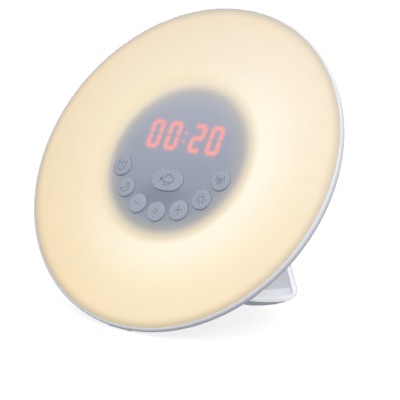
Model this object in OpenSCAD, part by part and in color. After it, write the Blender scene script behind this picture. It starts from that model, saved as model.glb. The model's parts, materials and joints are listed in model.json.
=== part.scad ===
// Sunrise alarm clock: a round, back-leaning body with a milky light cover, a display and
// eight push keys in its middle, and a folding stand on its back.
//
// Every piece of the body is drawn lying flat, in the face's own axes: X to the right, Y up
// the face and Z out of the face, with Z = 0 at the front edge of the rim. in_body() then
// leans it back. The clock stands on Z = 0 and its face looks towards -Y.

/* [Body] */
// Width of the round body over its rim
body_d = 188; // [176:1:204]
// How far the face leans back from upright, in degrees
face_lean = 34.2; // [31:0.2:37]
// Wall of the back shell
shell_wall = 2.2; // [1.8:0.1:2.6]
// Radius of the rim's rounded back edge
rim_edge_r = 3.4; // [3:0.1:4]
// Radius of the rim's rounded front edge
rim_lip_r = 1.4; // [1.2:0.1:1.5]
// Distance from the rim's front to where its back edge starts to round
rim_front = 2.2; // [1.8:0.1:2.6]
// Depth of the seat that the light cover stands in
seat_depth = 3; // [2.4:0.1:3.2]
// Radius of the dished back
dish_r = 160; // [150:1:175]
// Depth of the back's flat middle, from the rim's front
dish_depth = 20.5; // [19:0.5:22]

/* [Hub] */
// Width of the round hub on the back
hub_d = 98; // [94:1:104]
// Depth of the hub's back face, from the rim's front
hub_depth = 30.5; // [29:0.5:33]
// Distance from the face's middle down to the hub's flat lower side
hub_flat = 14; // [13:0.5:16]

/* [Light cover] */
// Thickness of the cover in its middle
cover_t = 2.4; // [2.1:0.1:2.8]
// How far the cover's middle stands out before the rim
cover_rise = 1.9; // [1.5:0.1:2.2]
// How much lower the cover is at its edge fillet than in its middle
cover_dome = 0.8; // [0.4:0.1:1]
// Width of the cover's rounded edge
cover_edge_w = 4; // [3:0.5:5]
// Thickness of the cover's skirt
skirt_t = 1.8; // [1.5:0.1:2]
// Gap around the cover in its seat
cover_gap = 0.15; // [0.1:0.05:0.25]

/* [Screen] */
// Width of the dark round screen
screen_d = 81; // [80.5:0.5:86]
// Thickness of the tinted film behind the cover
film_t = 0.3; // [0.2:0.05:0.5]
// Height of the middle of the time above the face's middle
time_up = 13.6; // [12.6:0.1:14.6]
// Width of a digit, from segment middle to segment middle
digit_w = 5.8; // [5.2:0.1:6.4]
// Height of a digit, from segment middle to segment middle
digit_h = 14.3; // [13:0.1:15.6]
// Width of a digit's segments
segment_w = 2; // [1.6:0.1:2.2]
// Distance between two digits of a pair
digit_pitch = 11.5; // [10.4:0.1:12.6]
// Distance from the face's middle to the nearer digit of a pair
digit_first = 7.9; // [7:0.1:8.6]
// Depth of the display block
display_t = 7.5; // [6:0.5:7.5]

/* [Keys] */
// Width of a round key
key_d = 11.2; // [10:0.1:11.6]
// Clear distance between the screen's edge and the arc of the round keys
key_margin = 0.4; // [0.3:0.05:1]
// Height of the middle of that arc above the face's middle
key_arc_up = 3.9; // [3:0.1:4.4]
// Clear distance between two neighbouring round keys
key_spacing = 2.55; // [2.1:0.05:2.9]
// Width of the oval key in the middle
oval_w = 19.8; // [17:0.2:22]
// Height of the oval key
oval_h = 12.2; // [11:0.2:13]
// Distance from the face's middle down to the oval key
oval_down = 12.6; // [12:0.1:13.4]
// How far the keys stand out of the cover
key_proud = 1; // [0.6:0.1:1.4]
// How far a key travels when it is pressed
key_travel = 0.6; // [0.4:0.1:0.7]
// Gap around a key in its hole
key_gap = 0.25; // [0.2:0.05:0.35]

/* [Light] */
// Number of lamps in the ring of lamps
led_count = 18; // [12:1:24]
// Gap between the screen's tube and the lamps' board
led_ring_gap = 3.9; // [3:0.1:6]
// Width of the lamps' ring-shaped board
led_board_w = 12; // [10:1:13]
// Depth of the white tray that throws the light forward
tray_depth = 9; // [8.5:0.5:9.5]
// Wall of the white tray
tray_wall = 1.2; // [1:0.1:1.5]

/* [Stand] */
// How far the opened stand leans forward from upright, in degrees
stand_lean = 14; // [11:1:17]
// Width of the stand near its foot
stand_w = 130; // [122:1:134]
// Narrowing of each side of the stand towards its hinge, in degrees
stand_taper = 8; // [4:0.5:10]
// Thickness of the whole stand
stand_t = 5; // [4.5:0.1:5.5]
// Thickness of the stand's plate
plate_t = 2; // [1.6:0.1:2.4]
// Wall along the sides of the stand
side_wall = 1.8; // [1.5:0.1:2.4]
// Height of the bar along the foot of the stand
foot_bar = 3.8; // [3:0.1:4.5]
// Length of the ramp from that bar down to the plate
foot_ramp = 3; // [2:0.1:4]
// Size of the bevel around the back of the stand
back_bevel = 2.2; // [1.6:0.1:2.4]
// Radius of the stand's lower corners
stand_corner = 9.5; // [8:0.5:11]
// Half the width of the straight middle of the lower edge
foot_flat = 22; // [16:1:26]
// Radius of the lower edge on both sides of that
foot_arch_r = 120; // [105:5:150]
// Distance from the face's middle down to the hinge
hinge_down = 24; // [23.5:0.5:26]
// Depth of the hinge's axis, from the rim's front
hinge_back = 27; // [26.5:0.1:27.4]
// Width of a hinge pin
pin_d = 3; // [2.6:0.1:3.2]
// Gap around a hinge pin in its lug
pin_gap = 0.05; // [0.03:0.01:0.08]
// Width of a hinge lug
lug_w = 8; // [7:0.5:9]
// Distance from the middle of the clock to a hinge lug's middle
lug_x = 32; // [30:0.5:33]

/* [Rubber feet] */
// Width of the rubber foot under the rim
rim_foot_w = 14; // [10:1:18]
// Thickness of that foot
rim_foot_t = 1.3; // [1:0.1:1.4]
// How far that foot stands out below the rim
foot_proud = 0.35; // [0.25:0.05:0.5]
// Distance from the middle to the inner end of a rubber foot on the stand
pad_start = 14; // [10:1:18]
// Radius of the rubber feet's lower edge, where it rises to the sides
pad_arch_r = 84; // [80:1:90]
// Height of the stand's lower edge above the table
foot_clear = 2; // [1.6:0.1:2.4]

/* [Back] */
// Width of the loudspeaker
speaker_d = 36; // [34:1:37]
// Gap between the loudspeaker and the battery cup
speaker_gap = 3; // [2:0.1:4]
// Width of one sound hole
sound_hole_d = 2; // [1.6:0.1:2.2]
// Distance between two rings of sound holes
sound_pitch = 3.4; // [3.2:0.1:3.6]
// Number of rings of sound holes
sound_rings = 4; // [3:1:4]
// Distance from the hub's side to the middle of the battery cup and of the socket
side_fit_in = 20; // [19:0.5:20.5]
// Height of the battery cup and of the socket above the face's middle
side_fit_up = 3; // [2.5:0.5:4]
// Width of the button cell
cell_d = 20; // [19.5:0.1:20.2]
// Thickness of the button cell
cell_t = 3.2; // [2.5:0.1:3.4]
// Distance from the body's side to the case screws
case_screw_in = 28; // [26:0.5:29]

/* [Hidden] */
$fn = 64;
SKIN = 0.02;            // overlap that joins two shapes of one piece
bend_swell = 1.08;      // how much thicker a lead is at its bends
FAR = 400;              // larger than the whole clock
CUT = 1;                // how far a cut runs on past the face that it opens

// Body, in the face's axes
rim_r = body_d / 2;
rim_turn = 60;          // angle at which the rim's back edge runs into the dish
edge_c = [rim_r - rim_edge_r, -rim_front];
dish_c = edge_c + (rim_edge_r - dish_r) * [cos(rim_turn), -sin(rim_turn)];
seat_r = rim_r - rim_lip_r;
cover_r = seat_r - cover_gap;
ledge_w = 4.2;
ledge_r = seat_r - ledge_w;
hub_r = hub_d / 2;
hub_round = 2.4;
hub_draft = 0.6;        // how much wider the hub is where it meets the dish
dish_steps = 8;
rim_steps = 6;
foot_gap = 0.05;        // around the rim's rubber foot in its seat
foot_trim = 0.4;        // how much shallower that foot is than the flat under it

// Height of the body's centre, from its lowest point, and its place along Y, which puts
// the middle of the whole clock over the origin
clock_z = foot_proud + edge_c[0] * cos(face_lean) + rim_front * sin(face_lean) + rim_edge_r;
front_reach = (rim_r - rim_lip_r) * sin(face_lean) - rim_lip_r * cos(face_lean) + rim_lip_r;
back_reach = edge_c[0] * sin(face_lean) + rim_front * cos(face_lean) + rim_edge_r;
clock_y = (front_reach - back_reach) / 2;

// The tube behind the screen's edge
tube_r = screen_d / 2;
tube_wall = 1.6;

// Layers behind the cover, counted along Z from the rim's front
cover_back = cover_rise - cover_t;
cover_edge_sink = 0.4;  // depth of the cover's outer edge below the rim's front
cover_fillet = [1.6, 0.6];
film_back = cover_back - film_t;
film_inset = 0.2;
layer_gap = 0.3;
flange_top = film_back - layer_gap;
flange_t = 1;
flange_w = 0.8;
flange_back = flange_top - flange_t;
board_t = 1.6;
board_top = -tray_depth;
board_back = board_top - board_t;
switch_a = 6;
switch_t = 3.4;
switch_top = board_top + switch_t;
plunger_t = 0.9;
plunger_r = 1.7;
plunger_top = switch_top + plunger_t;
press_gap = 0.05;       // left between a pressed key and its switch
stem_r = 2;
stem_end = plunger_top + key_travel + press_gap;
mat_t = 0.6;
collar_r = 4.4;
collar_wall = 1.2;
collar_top = flange_back - key_travel - press_gap;
mat_web_w = 5;
key_top = cover_rise + key_proud;
key_soft = 0.6;         // radius of a key's rounded edge
key_crown = 0.05;       // how much a key's top falls towards its edge
display_top = board_top + display_t;
display_side = 2.4;
display_margin = 3.2;
display_w = 2 * (digit_first + digit_pitch) + digit_w + 2 * display_side;
display_h = digit_h + 2 * display_margin;
segment_t = 0.25;
segment_gap = 0.35;
dot_r = 0.45 * segment_w;

// Keys: their places on the face
key_arc_r = tube_r - key_margin - key_d / 2;
key_step = 2 * asin((key_d + key_spacing) / 2 / key_arc_r);
key_angles = [for (i = [-3:3]) i * key_step];
function key_place(a) = [key_arc_r * sin(a), key_arc_up - key_arc_r * cos(a)];
oval_place = [0, -oval_down];
key_places = concat([for (a = key_angles) key_place(a)], [oval_place]);

// White tray
tray_flange_gap = 0.2;
tray_flange_t = 1.2;
tray_flange_w = 3.6;
tray_flange_r = seat_r - cover_gap - skirt_t - tray_flange_gap;
slope_r = tray_flange_r - tray_flange_w;
led_ring_r = tube_r + tube_wall + led_ring_gap + led_board_w / 2;
tray_floor_margin = 4;
tray_floor_r = led_ring_r + led_board_w / 2 + tray_floor_margin;
tray_draft = 0.4;
tray_hem = 0.6;         // how far the tray's inner tube reaches below its floor
board_ledge_w = 1.4;
board_ledge_t = 1;
board_gap = 0.3;
board_r = tube_r - board_gap;
board_screw_inset = 3.2;
board_screw_r = tube_r - board_screw_inset;
board_screw_angles = [90, 14, 166];
post_r = 2.4;
post_h = 6;
led_board_t = 1.6;
led_board_top = -tray_depth + led_board_t;
led_size = [3.5, 2.8, 1.2];
led_screw_r = led_ring_r + 3;
led_screw_angles = [60, 180, 300];
led_wire_r = led_ring_r - 4;
led_wire_hole_r = 1.8;

// Small screws
screw_r = 1.05;
head_r = 2;
head_t = 1.4;
slot_r = 0.9;           // half the size of a screw's square drive
slot_t = 0.7;
screw_clear = 0.1;      // around a screw in the piece that it passes through
screw_bite = 4;         // how deep a small screw goes into its post
pilot_end = 0.6;        // solid left under a screw's pilot hole
screw_end_gap = 0.2;

// Hub, from its back face inwards
hub_in = -(hub_depth - shell_wall);
speaker_r = speaker_d / 2;
gasket_t = 0.8;
gasket_w = 4;
speaker_front = hub_in + gasket_t;
frame_t = 1;
ear_r = 2.8;
ear_gap = 0.2;
ear_reach = speaker_r + ear_r + ear_gap;
ear_boss_h = 4;
ear_plane = hub_in + ear_boss_h;
ear_angles = [30, 150, 270];
basket_h = 6.5;
basket_top = speaker_front + frame_t + basket_h;
basket_wall = 1.5;
basket_floor_t = 0.8;
magnet_r = 11;
magnet_t = 5;
pole_r = 2.9;
pole_t = 2.5;
pole_gap = 0.1;
ear_start = 10;
ear_arm_w = 4.8;
cone_gap = 0.3;
cone_cap_r = 5;
cone_rise = [0.6, 1, 2.2, 2.6, 3, 3.4];

// Battery cup and door, on the left as seen from the front
side_fit_x = hub_r - side_fit_in;
cup_x = -side_fit_x;
cup_gap = 0.4;
cup_r = cell_d / 2 + cup_gap;
cup_wall = 1.2;
speaker_apart = speaker_r + speaker_gap + cup_r + cup_wall;
speaker_up = side_fit_up + sqrt(pow(speaker_apart, 2) - pow(side_fit_x, 2));
door_t = 1.6;
door_lap = 1.8;
door_r = cup_r + door_lap;
door_gap = 0.15;
door_in = -hub_depth + door_t;
cell_back = door_in + layer_gap;
cell_front = cell_back + cell_t;
cell_step = [1.2, 0.4];
contact_t = 0.3;
contact_r = 6;
spring_w = 3;
spring_out = 12;        // length of the contact's spring strip over both ends
spring_in = 4;
cup_floor = cell_front + 2 * contact_t;
cup_floor_t = 1.2;
tab_angle = 150;
tab_sink = 0.4;
tab_reach = door_r - tab_sink;
tab_r = 3.2;
door_land_t = 0.8;      // left under the head of the door's screw
door_screw_len = cup_floor - pilot_end - screw_end_gap - door_in + door_land_t;
door_rib = [9, 0.9, 0.5];
door_rib_pitch = 2.4;

// Socket, on the right as seen from the front
socket_x = side_fit_x;
recess_w = 15;
recess_h = 10;
recess_depth = 4.6;
recess_wall = 1.4;
recess_floor = -hub_depth + recess_depth;
recess_floor_t = 1.2;
socket_w = 7.6;
socket_h = 2.8;
socket_depth = 6;
socket_wall = 0.4;
socket_back_t = 1;
tongue_size = [4, 0.7];
tongue_inset = 0.8;
socket_gap = 0.2;
socket_board_w = 21;
socket_board_h = 9;
socket_board_t = 1.2;
socket_front = recess_floor + socket_depth;
socket_screw_x = 7.8;

// Parts on the back of the main board: places on the face, and sizes
chip_down = 12;
clock_chip_place = [-12, -chip_down];
clock_chip_size = [12, 12, 1.6];
radio_chip_place = [14, -chip_down];
radio_chip_size = [8, 5, 1.4];
crystal_place = [0, -10];
crystal_size = [1.6, 3];
capacitor_size = [2.5, 5];
plug_size = [7, 5, 4];
plug_back = board_back - plug_size[2];
plug_inset = 7.2;
plug_ring_r = board_r - plug_inset;
capacitor_ring_r = plug_ring_r - 4.4;
capacitor_angles = [200, 214, 290];
led_plug = [0, -plug_ring_r];
cell_plug = plug_ring_r * [cos(240), sin(240)];
power_plug = plug_ring_r * [cos(312), sin(312)];
speaker_plug = [sqrt(pow(plug_ring_r, 2) - pow(speaker_up, 2)), speaker_up];

// Leads
lead_r = 0.6;
lead_pitch = 1;         // half the distance between the two wires of a lead
lead_level = board_back - plug_size[2] / 2;
lead_clear = 2;
lead_start_gap = 0.1;
cell_lead_in = 5;
power_lead_in = 3;
joint_swell = 1.3;
antenna_turn = 10;
antenna_sweep = 300;
antenna_inset = 16;
antenna_lift = 0.6;
antenna_slope = 14;
antenna_drop = 3;
antenna_pad = 8;
antenna_tail_r = lead_r - 0.15;

// Case screws
case_screw_r = rim_r - case_screw_in;
case_screw_angles = [45, 135, 225, 315];
case_boss_r = 4;
case_boss_sink = 1.6;
case_post_r = 3.2;
case_head_r = 2.6;
case_head_t = 1.6;
case_hole_r = 3.1;
case_seat = -15;        // where a screw's head bears, counted along Z
case_seat_t = 1.5;
case_join = case_seat + case_seat_t;
case_screw_len = 6;

// Hinge and stand, in the stand's own axes: the hinge's axis is X, Y runs up the plate and
// Z points to the stand's hollow side
fold_angle = face_lean + stand_lean;
barrel_r = 3.5;
stand_back = -barrel_r;
stand_front = stand_back + stand_t;
plate_front = stand_back + plate_t;
hinge_z = clock_z - hinge_down * cos(face_lean) - hinge_back * sin(face_lean);
stand_len = (hinge_z - foot_clear - stand_front * sin(stand_lean)) / cos(stand_lean);
lug_r = 4.2;
lug_sink = 1;           // how deep a lug's root is sunk in the back's wall
lug_gap = 0.3;
slot_end_gap = 0.6;     // under a lug, to the end of its slot
shoulder_gap = 0.5;     // how far the plate's shoulders lie below the barrel
washer_t = 0.5;
washer_r = 3.2;
lug_in = lug_x - lug_w / 2;
lug_out = lug_x + lug_w / 2;
slot_in = lug_in - lug_gap;
slot_out = lug_out + washer_t + lug_gap;
pin_hold = 8;           // length of a pin held on each side of its lug
pin_inset = 1;          // how far a pin's end lies inside the barrel's end
barrel_end = slot_out + pin_hold;
pin_in = slot_in - pin_hold;
pin_out = barrel_end - pin_inset;
heel_t = 3;
heel_gap = 0.3;
heel_side = 3;
heel_half_w = slot_in - heel_side;
heel_len = (hinge_back - dish_depth - heel_gap - heel_t / 2 * cos(fold_angle)) / sin(fold_angle);
pad_inset = 2;
pad_corner_trim = 1.5;
pad_end = stand_w / 2 - 7;
pad_ground = 0.8;       // how much is ground off a foot where it meets the table
pad_drop = foot_clear / cos(stand_lean) + pad_ground;
tray_top = -barrel_r - 1.5;  // the plate is left solid between here and the barrel
back_flat_t = 0.2;      // upright edge left between the stand's back face and its bevel
lip_t = 0.4;            // upright edge left above the ramp

// ---------------------------------------------------------------- helpers

function arc(c, r, from, to, n) =
    [for (i = [0:n]) let (a = from + (to - from) * i / n) c + r * [cos(a), -sin(a)]];

// Height of the dished back's inner side at a radius
function dish_inner(r) = dish_c[1] - sqrt(pow(dish_r - shell_wall, 2) - pow(r - dish_c[0], 2));
function dish_outer(r) = dish_c[1] - sqrt(pow(dish_r, 2) - pow(r - dish_c[0], 2));

module in_body() translate([0, clock_y, clock_z]) rotate([90 - face_lean, 0, 0]) children();

module in_stand()
    in_body() translate([0, -hinge_down, -hinge_back]) rotate([fold_angle, 0, 0]) children();

// A round bar along X, from x0 to x1
module bar_x(r, x0, x1) translate([x0, 0, 0]) rotate([0, 90, 0]) cylinder(r = r, h = x1 - x0);

// A round bar along Z, from z0 to z1
module bar_z(r, z0, z1) translate([0, 0, z0]) cylinder(r = r, h = z1 - z0);

// A flat ring along Z, from z0 to z1
module ring_z(r_out, r_in, z0, z1) difference() {
    bar_z(r_out, z0, z1);
    bar_z(r_in, z0 - 1, z1 + 1);
}

// A box centred on X and Y, from z0 to z1
module block(w, h, z0, z1) translate([-w / 2, -h / 2, z0]) cube([w, h, z1 - z0]);

// Its children, once at each angle on a circle
module around(r, angles) for (a = angles) rotate(a) translate([r, 0, 0]) rotate(-a) children();

// An oval of four arcs, w wide and h high
module oval_2d(w, h) {
    end_r = h / 2 * 0.84;
    end_x = w / 2 - end_r;
    side_r = (pow(end_x, 2) + pow(h / 2, 2) - pow(end_r, 2)) / (2 * (h / 2 - end_r));
    side_y = side_r - h / 2;
    reach = end_x * side_r / (side_r - end_r);
    for (s = [-1, 1]) translate([s * end_x, 0]) circle(r = end_r);
    intersection() {
        translate([0, -side_y]) circle(r = side_r);
        translate([0, side_y]) circle(r = side_r);
        square([2 * reach, h + 1], center = true);
    }
}

// A pan-head screw that points along -Z from the plane its head bears on
module screw(r, len, head, head_h) {
    difference() {
        bar_z(head, 0, head_h);
        block(2 * slot_r, 2 * slot_r, head_h - slot_t, head_h + 1);
    }
    bar_z(r, -len, SKIN);
}

// An insulated wire through a list of points
module wire(points, r) {
    for (i = [0:len(points) - 2]) {
        p = points[i];
        d = points[i + 1] - p;
        translate(p) rotate([0, acos(d[2] / norm(d)), atan2(d[1], d[0])]) cylinder(r = r, h = norm(d));
        if (i > 0) translate(p) sphere(r = bend_swell * r);
    }
}

// ---------------------------------------------------------------- body

module cover_profile() {
    edge_r = cover_r - cover_edge_w;
    edge_z = cover_rise - cover_dome;
    edge_drop = edge_z + cover_edge_sink;
    inner_r = cover_r - skirt_t;
    polygon(concat(
        [for (i = [0:6]) let (r = edge_r * i / 6) [r, cover_rise - cover_dome * pow(i / 6, 2)]],
        [for (i = [1:6]) let (a = 15 * i)
            [edge_r + cover_edge_w * sin(a), edge_z - edge_drop * (1 - cos(a))]],
        [[cover_r, -seat_depth], [inner_r, -seat_depth], [inner_r, cover_back - cover_fillet[1]],
         [inner_r - cover_fillet[0], cover_back], [0, cover_back]]
    ));
}

module front_cover() color([1, 0.94, 0.8]) in_body() difference() {
    rotate_extrude() cover_profile();
    key_holes(cover_back - CUT, key_top);
}

// The holes that the keys stand in, from z0 to z1
module key_holes(z0, z1) {
    for (a = key_angles) translate(key_place(a)) bar_z(key_d / 2 + key_gap, z0, z1);
    translate([oval_place[0], oval_place[1], z0])
        linear_extrude(z1 - z0) oval_2d(oval_w + 2 * key_gap, oval_h + 2 * key_gap);
}

module screen_film() color([0.45, 0.48, 0.54]) in_body() difference() {
    bar_z(tube_r + tube_wall - film_inset, film_back, cover_back);
    key_holes(film_back - CUT, cover_back + CUT);
}

module tray_profile() {
    flange_top_z = -seat_depth + tray_flange_t;
    floor_back = -tray_depth - tray_wall;
    polygon([
        [tray_flange_r, -seat_depth], [tray_flange_r, flange_top_z], [slope_r, flange_top_z],
        [tray_floor_r, -tray_depth], [tube_r + tube_wall, -tray_depth],
        [tube_r + tube_wall, film_back], [tube_r, film_back], [tube_r, board_top + board_ledge_t],
        [tube_r - board_ledge_w, board_top + board_ledge_t], [tube_r - board_ledge_w, board_top],
        [tube_r, board_top], [tube_r, floor_back - tray_hem], [tube_r + tube_wall, floor_back - tray_hem],
        [tube_r + tube_wall, floor_back], [tray_floor_r + tray_draft, floor_back],
        [slope_r - tray_draft, -seat_depth]
    ]);
}

// Posts that take the case screws, up to the middle of the tray's wall
module tray_posts() intersection() {
    floor_mid = -tray_depth - tray_wall / 2;
    around(case_screw_r, case_screw_angles) bar_z(case_post_r, case_join, 0);
    rotate_extrude() polygon([
        [tube_r, case_join - CUT], [slope_r, case_join - CUT],
        [slope_r - tray_draft / 2, -seat_depth + tray_flange_t / 2],
        [tray_floor_r + tray_draft / 2, floor_mid], [tube_r, floor_mid]
    ]);
}

module light_tray() color([0.97, 0.97, 0.96]) in_body() difference() {
    union() {
        rotate_extrude() tray_profile();
        around(board_screw_r, board_screw_angles) bar_z(post_r, board_top + SKIN, board_top + post_h);
        tray_posts();
    }
    around(board_screw_r, board_screw_angles)
        bar_z(screw_r, board_top - CUT, board_top + post_h - pilot_end);
    around(case_screw_r, case_screw_angles)
        bar_z(screw_r, case_join - CUT, case_seat + case_screw_len + screw_end_gap);
    rotate(-90) translate([led_wire_r, 0, 0])
        bar_z(led_wire_hole_r, -tray_depth - tray_wall - CUT, -tray_depth + CUT);
}

function shell_outer_points() = concat(
    [[0, 0], [seat_r, 0]],
    arc([seat_r, -rim_lip_r], rim_lip_r, -90, 0, 4),
    arc(edge_c, rim_edge_r, 0, rim_turn * (1 - 1 / rim_steps), rim_steps - 1),
    arc(dish_c, dish_r, rim_turn, asin((dish_c[1] + dish_depth) / dish_r), dish_steps),
    [[0, -dish_depth]]
);

module shell_outer() rotate_extrude() polygon(shell_outer_points());

module shell_inner() {
    in_r = dish_r - shell_wall;
    in_depth = dish_depth - shell_wall;
    rotate_extrude() polygon(concat(
        [[0, CUT], [seat_r, CUT], [seat_r, -seat_depth], [ledge_r, -seat_depth]],
        arc(dish_c, in_r, acos((ledge_r - dish_c[0]) / in_r), asin((dish_c[1] + in_depth) / in_r),
            dish_steps),
        [[0, -in_depth]]
    ));
}

// The hub's round block, cut flat at its lower side and rounded at its back edge
module hub_block(inset, back, front) intersection() {
    r = hub_r - inset;
    rotate_extrude() polygon(concat(
        [[0, front], [r + hub_draft, front], [r, (front + back) / 2], [r, back + hub_round]],
        arc([r - hub_round, back + hub_round], hub_round, 15, 90, 5),
        [[0, back]]
    ));
    translate([-FAR / 2, -hub_flat + inset, back - CUT]) cube([FAR, FAR, front - back + 2 * CUT]);
}

module hinge_lug() {
    bar_x(lug_r, -lug_w / 2, lug_w / 2);
    translate([-lug_w / 2, -lug_r, 0]) cube([lug_w, 2 * lug_r, hinge_back - dish_depth + lug_sink]);
}

module sound_holes() translate([0, speaker_up, 0]) for (k = [0:sound_rings])
    for (i = [0:max(6 * k, 1) - 1]) rotate(i * 60 / max(k, 1)) translate([k * sound_pitch, 0, 0])
        bar_z(sound_hole_d / 2, -hub_depth - CUT, hub_in + CUT);

module door_shape(grow, z0, z1) translate([cup_x, side_fit_up, 0]) {
    bar_z(door_r + grow, z0, z1);
    rotate(tab_angle) translate([tab_reach, 0, 0]) bar_z(tab_r + grow, z0, z1);
}

module at_tab() translate([cup_x, side_fit_up, 0]) rotate(tab_angle) translate([tab_reach, 0, 0]) children();

module back_shell() color([0.95, 0.95, 0.97]) difference() {
    in_body() difference() {
        union() {
            difference() {
                union() {
                    shell_outer();
                    hub_block(0, -hub_depth, -dish_depth + lug_sink);
                }
                shell_inner();
                hub_block(shell_wall, hub_in, -dish_depth + shell_wall + CUT);
            }
            for (s = [-1, 1]) translate([s * lug_x, -hinge_down, -hinge_back]) hinge_lug();
            translate([0, speaker_up, 0])
                around(ear_reach, ear_angles) bar_z(ear_r, hub_in - SKIN, ear_plane);
            translate([cup_x, side_fit_up, 0])
                bar_z(cup_r + cup_wall, hub_in - SKIN, cup_floor + cup_floor_t);
            at_tab() bar_z(tab_r - tab_sink, hub_in - SKIN, cup_floor);
            translate([socket_x, side_fit_up, 0])
                block(recess_w + 2 * recess_wall, recess_h + 2 * recess_wall, hub_in - SKIN,
                    recess_floor + recess_floor_t);
            for (s = [-1, 1]) translate([socket_x + s * socket_screw_x, side_fit_up, 0])
                bar_z(post_r, recess_floor, socket_front);
            around(case_screw_r, case_screw_angles)
                bar_z(case_boss_r, dish_outer(case_screw_r) + case_boss_sink, case_join);
        }
        sound_holes();
        translate([socket_x, side_fit_up, 0]) {
            block(recess_w, recess_h, -hub_depth - CUT, recess_floor);
            block(socket_w + 2 * socket_gap, socket_h + 2 * socket_gap, recess_floor - CUT,
                recess_floor + recess_floor_t + CUT);
            for (s = [-1, 1]) translate([s * socket_screw_x, 0, 0])
                bar_z(screw_r, recess_floor + recess_floor_t + pilot_end, socket_front + CUT);
        }
        door_shape(door_gap, -hub_depth - CUT, door_in);
        translate([cup_x, side_fit_up, 0]) bar_z(cup_r, door_in - CUT, cup_floor);
        at_tab() bar_z(screw_r, door_in - CUT, cup_floor - pilot_end);
        around(case_screw_r, case_screw_angles) {
            bar_z(case_hole_r, -hub_depth, case_seat);
            bar_z(screw_r + screw_clear, case_seat - CUT, case_join + CUT);
        }
        translate([0, speaker_up, 0])
            around(ear_reach, ear_angles) bar_z(screw_r, hub_in + pilot_end, ear_plane + CUT);
        translate([0, -hinge_down, -hinge_back]) for (s = [-1, 1])
            bar_x(pin_d / 2 + pin_gap, s * lug_x - lug_w, s * lug_x + lug_w);
    }
    rim_foot_space(0);
}

module rim_foot_space(shrink) {
    foot_d = 2 * sqrt(2 * rim_edge_r * (rim_foot_t - foot_proud)) - foot_trim;
    foot_y = clock_y - edge_c[0] * sin(face_lean) + rim_front * cos(face_lean);
    translate([-rim_foot_w / 2 + shrink, foot_y - foot_d / 2 + shrink, 0])
        cube([rim_foot_w - 2 * shrink, foot_d - 2 * shrink, rim_foot_t]);
}

module rim_foot() color([0.35, 0.35, 0.38]) rim_foot_space(foot_gap);

// ---------------------------------------------------------------- light

module led_board() color([0.93, 0.94, 0.93]) in_body() difference() {
    ring_z(led_ring_r + led_board_w / 2, led_ring_r - led_board_w / 2, -tray_depth, led_board_top);
    around(led_screw_r, led_screw_angles) bar_z(screw_r, -tray_depth - CUT, led_board_top + CUT);
}

module leds() color([1, 0.85, 0.45]) in_body()
    for (i = [0:led_count - 1]) rotate((i + 0.5) * 360 / led_count) translate([led_ring_r, 0, 0])
        block(led_size[0], led_size[1], led_board_top, led_board_top + led_size[2]);

module led_board_screws() color([0.7, 0.7, 0.72]) in_body()
    around(led_screw_r, led_screw_angles) translate([0, 0, led_board_top])
        screw(screw_r, led_board_t, head_r, head_t);

// ---------------------------------------------------------------- display and keys

module main_board() color([0.1, 0.4, 0.25]) in_body() difference() {
    bar_z(board_r, board_back, board_top);
    around(board_screw_r, board_screw_angles)
        bar_z(screw_r + screw_clear, board_back - CUT, board_top + CUT);
}

module board_screws() color([0.7, 0.7, 0.72]) in_body() around(board_screw_r, board_screw_angles)
    translate([0, 0, board_back]) mirror([0, 0, 1]) screw(screw_r, board_t + screw_bite, head_r, head_t);

module display_block() color([0.2, 0.2, 0.22]) in_body() translate([0, time_up, 0])
    block(display_w, display_h, board_top, display_top - segment_t);

// Segments of one digit: top, upper right, lower right, bottom, lower left, upper left, middle
module digit(lit) {
    half_w = digit_w / 2;
    half_h = digit_h / 2;
    places = [
        [0, half_h, 0], [half_w, half_h / 2, 90], [half_w, -half_h / 2, 90], [0, -half_h, 0],
        [-half_w, -half_h / 2, 90], [-half_w, half_h / 2, 90], [0, 0, 0]
    ];
    for (i = [0:6]) if (lit[i] == 1) {
        long = (places[i][2] == 0 ? half_w : half_h / 2) - segment_gap;
        s = segment_w / 2;
        translate([places[i][0], places[i][1], 0]) rotate(places[i][2]) linear_extrude(segment_t)
            polygon([[-long, 0], [-long + s, s], [long - s, s], [long, 0], [long - s, -s], [-long + s, -s]]);
    }
}

module display_digits() color([1, 0.35, 0.3]) in_body() translate([0, time_up, display_top - segment_t]) {
    zero = [1, 1, 1, 1, 1, 1, 0];
    two = [1, 1, 0, 1, 1, 0, 1];
    far = digit_first + digit_pitch;
    translate([-far, 0, 0]) digit(zero);
    translate([-digit_first, 0, 0]) digit(zero);
    translate([digit_first, 0, 0]) digit(two);
    translate([far, 0, 0]) digit(zero);
    for (s = [-1, 1]) translate([0, s * digit_h / 6, 0]) bar_z(dot_r, 0, segment_t);
}

module key_switches() color([0.15, 0.15, 0.16]) in_body() for (p = key_places) translate(p) {
    block(switch_a, switch_a, board_top, switch_top);
    bar_z(plunger_r, switch_top - SKIN, plunger_top);
}

module key_mat() color([0.75, 0.76, 0.78]) in_body() difference() {
    collar_in = collar_r - collar_wall;
    union() {
        for (p = key_places) translate(p) bar_z(collar_r, switch_top, collar_top);
        intersection() {
            translate([0, key_arc_up, 0])
                ring_z(key_arc_r + mat_web_w / 2, key_arc_r - mat_web_w / 2, switch_top, switch_top + mat_t);
            translate([-FAR / 2, -FAR, -FAR / 2]) cube([FAR, FAR + key_place(3 * key_step)[1], FAR]);
        }
        translate([-mat_web_w / 2, key_place(0)[1], switch_top])
            cube([mat_web_w, key_arc_r - key_arc_up - oval_down, mat_t]);
    }
    for (p = key_places) translate(p) bar_z(collar_in, switch_top - CUT, collar_top + CUT);
}

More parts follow.
